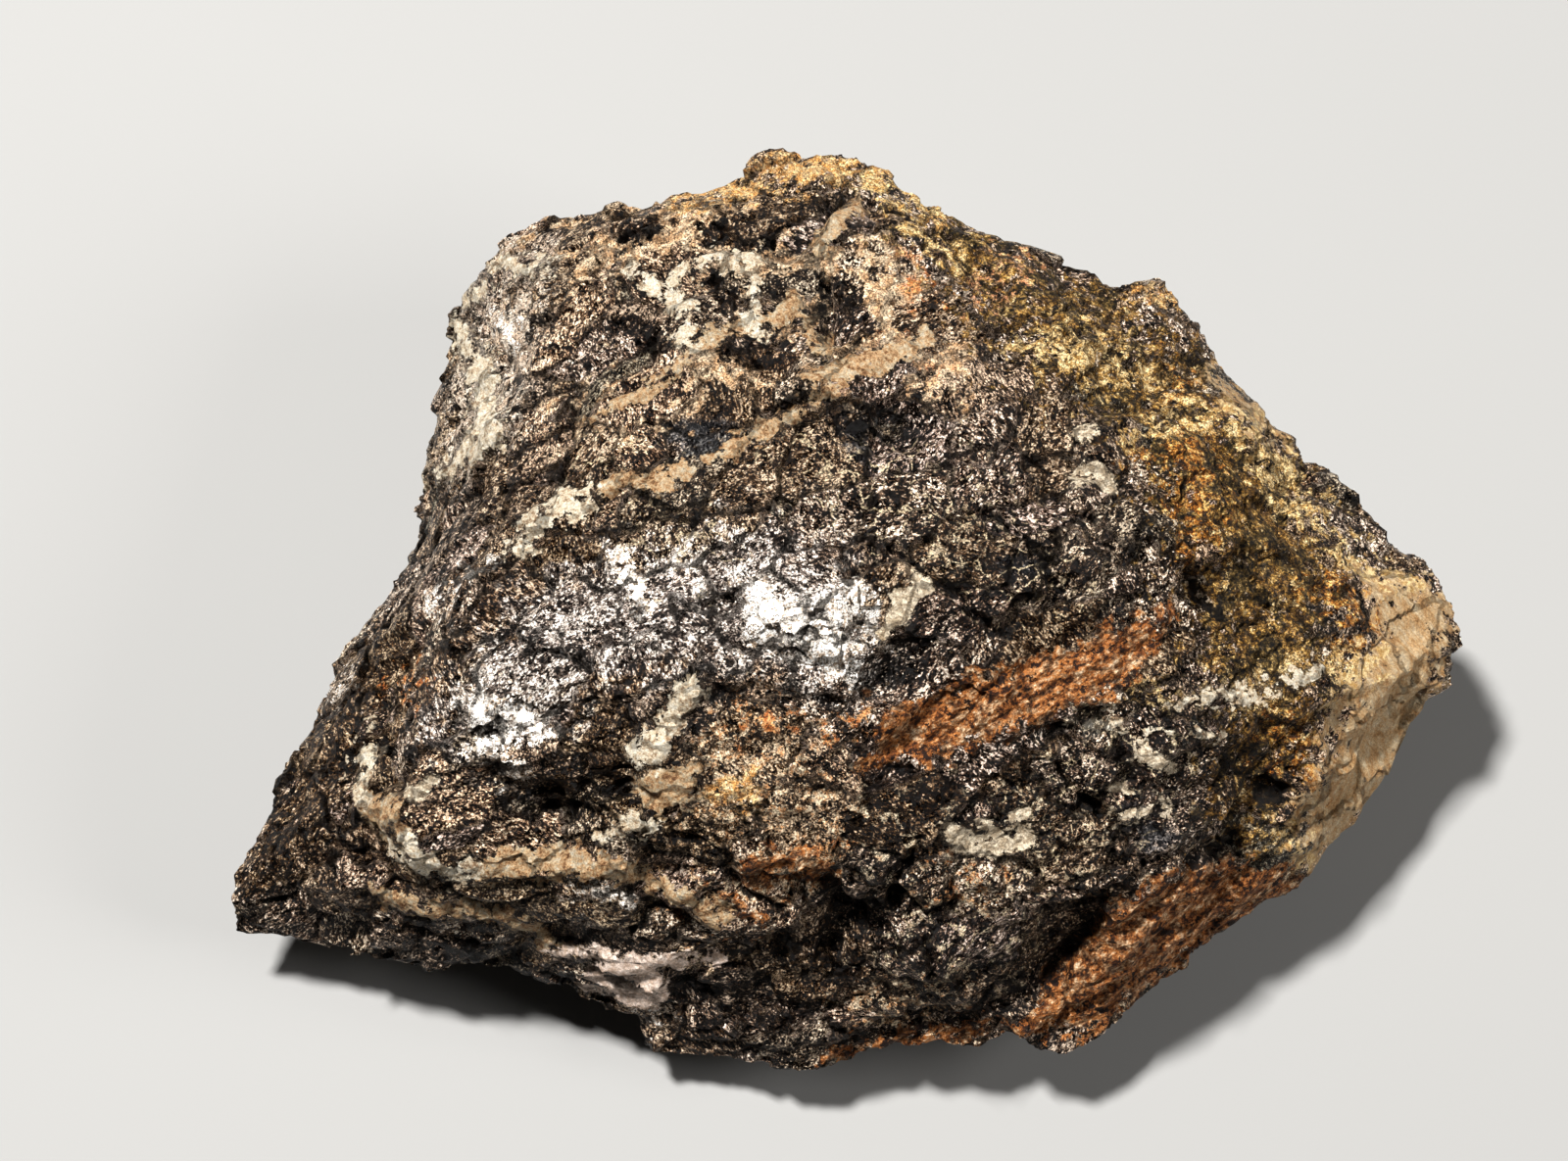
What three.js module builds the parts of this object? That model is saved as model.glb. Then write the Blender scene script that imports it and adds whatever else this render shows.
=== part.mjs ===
// Sphalerite specimen: one broken lump of massive, cleavable ore with carbonate veins.
// Millimetres, +Z up. The stone lies on a flat break at z = 0, and the origin is under its middle.

import * as THREE from 'three';
import { ConvexHull } from 'three/addons/math/ConvexHull.js';
import { ImprovedNoise } from 'three/addons/math/ImprovedNoise.js';
import { mergeVertices } from 'three/addons/utils/BufferGeometryUtils.js';

// Driving dimensions of the whole stone.
const stone = { length: 144, depth: 103, height: 55 };

// The corners of the upper side are surveyed from one eye point in front of and above the stone.
const eye = {
  elevation: THREE.MathUtils.degToRad(70),
  distance: 450,
  target: new THREE.Vector3(-7.5, 2, 30),
};

// The outline of the stone as the eye sees it, clockwise from the left tip.
// Each surveyed corner is [across, up, height]: across and up lie on the picture plane through the
// target, and height is over the rest plane.
const outline = [
  [-63.5, -37.5, 14], [-62, -31.5, 16], [-56.5, -19, 18], [-51.5, -12, 20], // the wing
  [-47.5, -8, 22], [-43.5, 0.5, 20], [-40.5, 11.5, 18], [-39.5, 21.5, 17], // the left flank
  [-38.5, 32, 18], [-33.5, 38.5, 24], [-27, 40.5, 30], [-18, 43, 36], // the upper left corner
  [-7, 45.5, 40], [0, 48.5, 41], [5.5, 49, 41], [11.5, 47.5, 41], [16, 45.5, 40], // the summit edge
  [22.5, 40.5, 38], [29.5, 37, 36], [36, 34, 34], [43.5, 34.5, 32], [45, 32.5, 31], // the rear knob
  [49.5, 25, 30], [53.5, 21.5, 29], [58.5, 16, 27], [61, 11.5, 26], [65, 9.5, 25], [70, 3, 24],
  [75.5, 0.5, 24], [76.5, -6.5, 22], [75.5, -12, 20], // the right nose
  [70, -22.5, 17], [65.5, -28, 15], [61, -33.5, 13], [51, -41, 12], [43, -47, 12],
  [37.5, -52, 12], [32.5, -54.5, 12], // the rusty toe
  [27, -53.5, 13], [18, -54, 12], [9, -56, 10], [0, -56.5, 9], [-5.5, -56, 8], // the front toe
  [-12.5, -55, 7], [-20.5, -49.5, 9], [-27, -45.5, 11], [-34, -44.5, 12],
  [-43, -43, 12], [-51, -42, 11], [-57.5, -41, 10], [-62.5, -40, 10],
];

// The brow over the left flank, from the rear down to the vein corner at its front end.
const brow = [
  [-22.5, 40, 42], [-27, 33, 39], [-29, 21.5, 41], [-30.5, 12.5, 42], [-32.5, 3.5, 44],
  [-37.5, -5.5, 43], [-40.5, -14.5, 41], [-42.5, -22.5, 39], [-42, -30, 36],
];

// The low wing left of the vein crease.
const wing = [
  [-47, -15.5, 31], [-48, -23.5, 30], [-53, -19, 25], [-56.5, -29, 23], [-60.5, -33.5, 19],
  [-52, -34.5, 22], [-42, -35.5, 28], [-53, -39, 15], [-39.5, -41, 18],
];

// The rear of the upper side, in front of the summit.
const rear = [
  [-18, 29.5, 45], [-11.5, 38.5, 46], [5.5, 43, 47], [18, 37, 46], [5.5, 30, 50], [-6, 26, 48.5],
];

// The cleavage plateau and the low ridge that runs to its right end.
const plateau = [
  [-18, 11.5, 49], [-4.5, 16, 51], [9, 20, 53], [22.5, 21.5, 52],
  [-18, -1, 50], [-2.5, -1, 52], [11.5, -1, 53], [-34, -12, 46], [-12.5, -12, 50],
  [-2.5, -12, 50], [9, -14, 50], [22.5, 5, 52], [22.5, -9, 49], [34, 3.5, 50],
  [43, -3, 47], [34, 16, 50],
];

// The front edge of the plateau and the foot of the drop below it.
const step = [
  [-32.5, -20, 43], [-27, -23.5, 42], [-18, -21, 44], [-29.5, -29, 35], [-36, -29, 37], [-18, -28, 40],
];

// The weathered right shoulder, down to the pale host rock at the nose.
const shoulder = [
  [28, 33, 43], [36, 27.5, 43], [44, 23.5, 38], [39.5, 18.5, 46], [48.5, 12.5, 42], [54, 6, 38],
  [45, 3.5, 45], [49.5, -2, 41], [62, -5.5, 33], [69, -3, 29], [61, -15.5, 32], [70, -12, 25],
  [56.5, -23.5, 30], [63, -23.5, 25], [57.5, -32.5, 19], [45, -15.5, 41], [45, -29, 33],
  [54, 15.5, 35], [59, 7, 31], [66, 1.5, 28],
];

// The terraces that fall to the front.
const terrace = [
  [-11.5, -19, 46], [0, -21, 45], [14.5, -19, 43], [28, -19, 43], [34, -10, 46],
  [2.5, -31.5, 38], [17, -29, 39], [31.5, -27, 38], [-9, -31.5, 40],
  [-21.5, -33.5, 33], [-31.5, -33.5, 31], [-10, -37.5, 31], [-22.5, -38, 28],
  [-4.5, -40.5, 27], [5.5, -40.5, 28], [17, -41.5, 28], [28, -38, 31], [37.5, -38, 28], [51, -32.5, 23],
  [40.5, -44.5, 18], [31.5, -48.5, 18], [22.5, -50, 18], [11.5, -51, 16], [0, -49.5, 17],
  [-11.5, -46, 17], [-19, -43, 20], [-29.5, -41, 20], [-7, -53, 12],
];

// The walls under the outline, as plain [x, y, z]: a bulging ring and a lower one.
const walls = [
  [-28, 48, 25], [-14, 50, 29], [1, 48, 27], [13, 47, 29], [27, 40, 23], [40, 36, 23],
  [50, 24, 19], [59, 15, 17], [66, 2, 15], [65, -9, 12],
  [-50, 20, 9], [-44, 37, 11], [-32, 45, 14], [-16, 44, 12], [2, 47, 14], [18, 42, 11],
  [33, 34, 12], [46, 20, 9], [55, 9, 10], [57, -6, 8], [55, -18, 8],
];

// The underside draws in to a small flat spot: a ring above the rest plane, and a sole below it.
const foot = [
  [-53, -22, 6], [-47, -6, 5], [-41, 11, 4], [-36, 26, 4], [-22, 36, 4], [-1, 40, 3.5], [19, 37, 4],
  [34, 27, 4], [46, 11, 4], [49, -6, 5], [44, -22, 5], [33, -34, 5], [17, -40, 4.5],
  [-4, -42, 4], [-22, -37, 4.5], [-40, -31, 5.5],
];
const sole = [
  [-34, -14, -1.5], [-28, 9, -1.5], [-8, 24, -1.5], [16, 22, -1.5], [32, 7, -1.5], [30, -14, -1.5],
  [12, -26, -1.5], [-14, -25, -1.5], [0, 0, -4],
];

// The point inside the stone that every part of its surface faces.
const heart = new THREE.Vector3(0, 0, 16);
// The stone's rough half sizes around the heart: along, across, above and below.
const egg = { x: 70, y: 52, above: 39, below: 16 };
// Each flat break is divided this many times along its edges to carry the relief.
const divisions = 5;

// Relief on top of the surveyed form. The lift makes up for what the hollows take from the outline.
const relief = {
  lift: 0.6,
  swell: { size: 17, height: 0.9 },
  lump: { size: 7, height: 0.5 },
  block: { size: 13, tilt: 0.17, height: 1.1 },
};

// The layering of the ore rises to the right and dips to the front. Its ledges wander up and down,
// and they fade out over a band from the front towards the rear left.
const layering = {
  rise: THREE.MathUtils.degToRad(27),
  dip: 0.5,
  spacing: 7.5,
  height: 1.6,
  wander: { size: 22, height: 5 },
  fade: { from: 30, to: -20, slant: 0.35 },
};

// Natural holes and dents: where the eye sees them, how wide and how deep they are.
const pits = [
  { across: 44, up: 23.5, height: 38, width: 3.5, depth: 3.5 },
  { across: 49, up: -1.5, height: 41, width: 3, depth: 3 },
  { across: 56.5, up: -24, height: 30, width: 4, depth: 4.5 },
  { across: 4, up: 28, height: 48, width: 4.5, depth: 2.5 },
  { across: 11, up: 17, height: 51, width: 5, depth: 2.5 },
  { across: 14, up: -8, height: 50, width: 5, depth: 2.5 },
  { across: 30, up: 16, height: 50, width: 4, depth: 1.8 },
  { across: -3, up: 14, height: 51, width: 4, depth: 1.5 },
];

// Lumps that stand proud: the white quartz over the front left toe and grains along the lower vein.
const knobs = [
  { across: -19, up: -44, height: 19, width: 4.5, depth: 2.2 },
  { across: -47, up: -26, height: 30, width: 3, depth: 1.6 },
  { across: -44, up: -31, height: 32, width: 3, depth: 1.6 },
  { across: -15, up: -19.5, height: 46, width: 3.5, depth: 1.6 },
  { across: -14, up: -24, height: 44, width: 4, depth: 1.8 },
];

// Long dents along corners that the eye sees: under the plateau's front, over the rust band,
// behind the rusty toe, along the wing, and the cleft in the front.
const creases = [
  { width: 4.5, depth: 2, along: [[-35, -24, 38], [-28, -28, 36], [-19, -27, 39]] },
  { width: 3.5, depth: 1.6, along: [[10, -13, 49], [18, -11.5, 49], [28, -8, 48], [40, -4, 47]] },
  { width: 3.5, depth: 2.6, along: [[38, -37, 28], [30, -46, 20], [22, -50, 17], [8, -54, 12]] },
  { width: 3.5, depth: 1.8, along: [[-47, -11, 31], [-49, -20, 30], [-46, -31, 29], [-39, -35, 30]] },
  { width: 3.5, depth: 2.4, along: [[3, -34, 34], [7, -39, 30], [6, -43, 26]] },
];

const noise = new ImprovedNoise();

// The point of the stone at this height that the eye sees at this place on the picture plane.
function surveyed([across, up, height]) {
  const sin = Math.sin(eye.elevation);
  const cos = Math.cos(eye.elevation);
  const forward = new THREE.Vector3(0, cos, -sin);
  const upward = new THREE.Vector3(0, sin, cos);
  const eyePoint = eye.target.clone().addScaledVector(forward, -eye.distance);
  const ray = forward.multiplyScalar(eye.distance).addScaledVector(upward, up);
  ray.x += across;
  return eyePoint.addScaledVector(ray, (height - eyePoint.z) / ray.z);
}

// A direction from the heart, with the egg's proportions taken out, so that corners spread evenly.
function evenDirection(point) {
  const offset = point.clone().sub(heart);
  const vertical = offset.z > 0 ? egg.above : egg.below;
  return new THREE.Vector3(offset.x / egg.x, offset.y / egg.y, offset.z / vertical).normalize();
}

// Joins neighbouring corners into flat breaks: the hull of their directions gives the triangles.
function flatBreaks(corners) {
  const directions = corners.map(evenDirection);
  const owner = new Map(directions.map((direction, i) => [direction, corners[i]]));
  const hull = new ConvexHull().setFromPoints(directions);
  const sidesOf = ({ edge }) => [edge, edge.next, edge.prev];
  return hull.faces.map((face) => sidesOf(face).map((side) => owner.get(side.head().point)));
}

// Divides a break into small triangles, row by row from its first corner.
function divided([a, b, c]) {
  const spot = (row, column) =>
    a.clone()
      .addScaledVector(b.clone().sub(a), (row - column) / divisions)
      .addScaledVector(c.clone().sub(a), column / divisions);
  const points = [];
  for (let row = 0; row < divisions; row += 1) {
    for (let column = 0; column <= row; column += 1) {
      points.push(spot(row, column), spot(row + 1, column), spot(row + 1, column + 1));
      if (column < row) points.push(spot(row, column), spot(row + 1, column + 1), spot(row, column + 1));
    }
  }
  return points;
}

// Smooth noise between -1 and 1 with features of the given size.
function lumpy(point, { size, height }, seed) {
  return height * noise.noise(point.x / size + seed, point.y / size + seed, point.z / size);
}

// A fixed, scattered number between 0 and 1 for a cell of the crystal grid.
function scatter(i, j, k, which) {
  const wave = Math.sin(i * 127.1 + j * 311.7 + k * 74.7 + which * 53.3) * 43758.5453;
  return wave - Math.floor(wave);
}

// Cleavage blocks: the stone is parted into cells, and each breaks on its own tilted plane.
function cleavage(point, { size, tilt, height }) {
  const cell = point.clone().divideScalar(size);
  const home = cell.clone().floor();
  let nearest = Infinity;
  let rise = 0;
  for (let i = home.x - 1; i <= home.x + 1; i += 1) {
    for (let j = home.y - 1; j <= home.y + 1; j += 1) {
      for (let k = home.z - 1; k <= home.z + 1; k += 1) {
        const spread = [0, 1, 2, 3, 4, 5, 6].map((which) => scatter(i, j, k, which));
        const away = cell.clone().sub(new THREE.Vector3(i + spread[0], j + spread[1], k + spread[2]));
        if (away.lengthSq() < nearest) {
          nearest = away.lengthSq();
          const lean = new THREE.Vector3(spread[3] - 0.5, spread[4] - 0.5, spread[5] - 0.5);
          rise = away.dot(lean) * 2 * tilt * size + (spread[6] - 0.5) * height;
        }
      }
    }
  }
  return rise;
}

// Ledges along the layering: each layer stands a little proud of the one in front of it.
function ledge(point) {
  const { rise, dip, spacing, height, wander, fade } = layering;
  const across = point.y * Math.cos(rise) - point.x * Math.sin(rise) + dip * point.z;
  const place = (across + lumpy(point, wander, 5)) / spacing;
  const towardsFront = fade.slant * point.x - point.y;
  const strength = THREE.MathUtils.smoothstep(towardsFront, fade.to, fade.from);
  return height * strength * (0.5 - (place - Math.floor(place)));
}

// A round dent or lump around one spot.
function bump(point, spot) {
  const centre = surveyed([spot.across, spot.up, spot.height]);
  const reach = point.distanceTo(centre) / spot.width;
  return spot.depth * Math.exp(-reach * reach);
}

// A long dent around the line through a crease's corners.
function furrow(point, { width, depth, along }) {
  const corners = along.map(surveyed);
  const closest = new THREE.Vector3();
  let distance = Infinity;
  for (let i = 1; i < corners.length; i += 1) {
    new THREE.Line3(corners[i - 1], corners[i]).closestPointToPoint(point, true, closest);
    distance = Math.min(distance, point.distanceTo(closest));
  }
  const reach = distance / width;
  return depth * Math.exp(-reach * reach);
}

function reliefAt(point) {
  let rise = relief.lift + lumpy(point, relief.swell, 0) + lumpy(point, relief.lump, 9);
  rise += cleavage(point, relief.block) + ledge(point);
  for (const pit of pits) rise -= bump(point, pit);
  for (const crease of creases) rise -= furrow(point, crease);
  for (const knob of knobs) rise += bump(point, knob);
  return rise;
}

// Stretches the finished surface to the driving dimensions and sets the origin under its middle.
function fitToSize(geometry) {
  geometry.computeBoundingBox();
  const box = geometry.boundingBox;
  const span = box.getSize(new THREE.Vector3());
  const middle = box.getCenter(new THREE.Vector3());
  geometry.translate(-middle.x, -middle.y, -box.min.z);
  geometry.scale(stone.length / span.x, stone.depth / span.y, stone.height / span.z);
}

function specimenGeometry() {
  const seen = [outline, brow, wing, rear, plateau, step, shoulder, terrace].flat();
  const surveyedCorners = seen.map(surveyed);
  const plainCorners = [...walls, ...foot, ...sole].map((corner) => new THREE.Vector3(...corner));
  const points = flatBreaks([...surveyedCorners, ...plainCorners]).flatMap(divided);

  let geometry = new THREE.BufferGeometry().setFromPoints(points);
  geometry = mergeVertices(geometry, 1e-3);
  const position = geometry.attributes.position;
  const point = new THREE.Vector3();
  for (let i = 0; i < position.count; i += 1) {
    point.fromBufferAttribute(position, i);
    const outward = point.clone().sub(heart).normalize();
    point.addScaledVector(outward, reliefAt(point));
    // The rest plane cuts the stone flat below.
    if (point.z < 0) point.lerp(heart, point.z / (point.z - heart.z));
    position.setXYZ(i, point.x, point.y, point.z);
  }
  fitToSize(geometry);
  geometry.computeVertexNormals();
  return geometry;
}

const ore = new THREE.MeshStandardMaterial({
  color: 0x2e241c,
  roughness: 0.38,
  metalness: 0.1,
  flatShading: true,
});
const specimen = new THREE.Mesh(specimenGeometry(), ore);
specimen.name = 'sphalerite_specimen';

const group = new THREE.Group();
group.add(specimen);

export default group;
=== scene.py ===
import math

import bmesh
import bpy
import numpy as np
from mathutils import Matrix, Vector


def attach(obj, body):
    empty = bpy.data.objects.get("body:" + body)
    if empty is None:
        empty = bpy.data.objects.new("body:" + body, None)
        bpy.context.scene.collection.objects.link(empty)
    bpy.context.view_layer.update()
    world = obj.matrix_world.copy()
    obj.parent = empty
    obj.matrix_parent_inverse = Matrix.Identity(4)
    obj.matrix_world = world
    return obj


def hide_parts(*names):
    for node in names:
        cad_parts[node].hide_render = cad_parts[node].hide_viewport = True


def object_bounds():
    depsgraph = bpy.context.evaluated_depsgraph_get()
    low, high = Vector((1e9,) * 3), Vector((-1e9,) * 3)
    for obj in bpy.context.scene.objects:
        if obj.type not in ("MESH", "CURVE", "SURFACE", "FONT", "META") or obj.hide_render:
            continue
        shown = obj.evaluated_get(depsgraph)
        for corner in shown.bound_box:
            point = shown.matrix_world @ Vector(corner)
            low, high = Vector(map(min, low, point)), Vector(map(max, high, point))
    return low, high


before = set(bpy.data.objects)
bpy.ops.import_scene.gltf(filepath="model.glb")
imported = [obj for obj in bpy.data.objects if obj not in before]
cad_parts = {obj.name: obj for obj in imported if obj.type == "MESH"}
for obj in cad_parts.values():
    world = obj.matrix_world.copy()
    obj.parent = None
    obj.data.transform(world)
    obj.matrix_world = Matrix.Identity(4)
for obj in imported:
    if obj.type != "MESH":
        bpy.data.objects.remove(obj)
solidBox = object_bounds()
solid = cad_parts["sphalerite_specimen"]
print("frame loaded,", len(solid.data.polygons), "triangles in the solid")

# The camera looks from in front and above, as in the photo.
view = {
    "elevation": 70,
    "distance": 0.45,
    "target": (-0.0075, 0.002, 0.030),
    "pictureWidth": 0.18065,  # metres across the picture at the target
    "sensor": 36,
    "nearest": 0.01,
}


def viewAxes():
    tilt = math.radians(view["elevation"])
    forward = Vector((0, math.cos(tilt), -math.sin(tilt)))
    upward = Vector((0, math.sin(tilt), math.cos(tilt)))
    return Vector(view["target"]) - forward * view["distance"], forward, upward


def addCamera():
    eye, forward, _ = viewAxes()
    camera = bpy.data.objects.new("camera", bpy.data.cameras.new("camera"))
    camera.data.sensor_width = view["sensor"]
    camera.data.lens = view["sensor"] * view["distance"] / view["pictureWidth"]
    camera.data.clip_start = view["nearest"]
    camera.location = eye
    camera.rotation_euler = forward.to_track_quat("-Z", "Y").to_euler()
    bpy.context.scene.collection.objects.link(camera)
    bpy.context.scene.camera = camera


addCamera()
print("camera placed")


# Noise on arrays of points in millimetres. Each use has a seed of its own.

def scattered(cells, seed):
    # a fixed random number between 0 and 1 for each cell of a grid
    x, y, z = (cells[:, i].astype(np.uint32) for i in range(3))
    bits = x * np.uint32(73856093) ^ y * np.uint32(19349663) ^ z * np.uint32(83492791)
    bits ^= np.uint32(seed * 668265263 % 2**32)
    bits = (bits ^ (bits >> np.uint32(15))) * np.uint32(2246822519)
    bits = (bits ^ (bits >> np.uint32(13))) * np.uint32(3266489917)
    return (bits ^ (bits >> np.uint32(16))) / 2**32


def scatteredVectors(cells, seed):
    return np.stack([scattered(cells, seed + i) for i in range(3)], axis=1)


def smoothNoise(points, size, seed, octaves=1):
    total = np.zeros(len(points))
    share = 1.0
    for octave in range(octaves):
        place = points / size * 2**octave + 31.7 * octave
        base = np.floor(place)
        part = place - base
        part = part**3 * (part * (part * 6 - 15) + 10)
        for corner in range(8):
            step = np.array([corner & 1, corner >> 1 & 1, corner >> 2 & 1])
            weight = np.prod(np.where(step, part, 1 - part), axis=1)
            luck = scattered((base + step).astype(np.int64), seed + octave) * 2 - 1
            total += share * weight * luck
        share *= 0.5
    return total


def smoothNoises(points, size, seeds, octaves=1):
    return np.stack([smoothNoise(points, size, seed, octaves) for seed in seeds], axis=1)


def nearestCell(points, size, seed):
    # the nearest of many scattered centres: its cell, the way from it, and the room to the next one
    place = points / size
    home = np.floor(place)
    nearest = np.full(len(points), np.inf)
    second = np.full(len(points), np.inf)
    away = np.zeros_like(points)
    owner = np.zeros(points.shape, np.int64)
    for step in np.ndindex(3, 3, 3):
        cell = (home + np.array(step) - 1).astype(np.int64)
        offset = place - cell - scatteredVectors(cell, seed)
        distance = np.sqrt((offset**2).sum(axis=1))
        closer = distance < nearest
        second = np.where(closer, nearest, np.minimum(second, distance))
        nearest = np.where(closer, distance, nearest)
        away[closer] = offset[closer]
        owner[closer] = cell[closer]
    return owner, away * size, (second - nearest) * size


def facetRise(owner, away, tilt, step, seed=0):
    # each cell has a flat face of its own, tilted and a little higher or lower
    lean = scatteredVectors(owner, seed + 11) - 0.5
    return (away * lean).sum(axis=1) * 2 * tilt + (scattered(owner, seed + 20) - 0.5) * step


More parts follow.
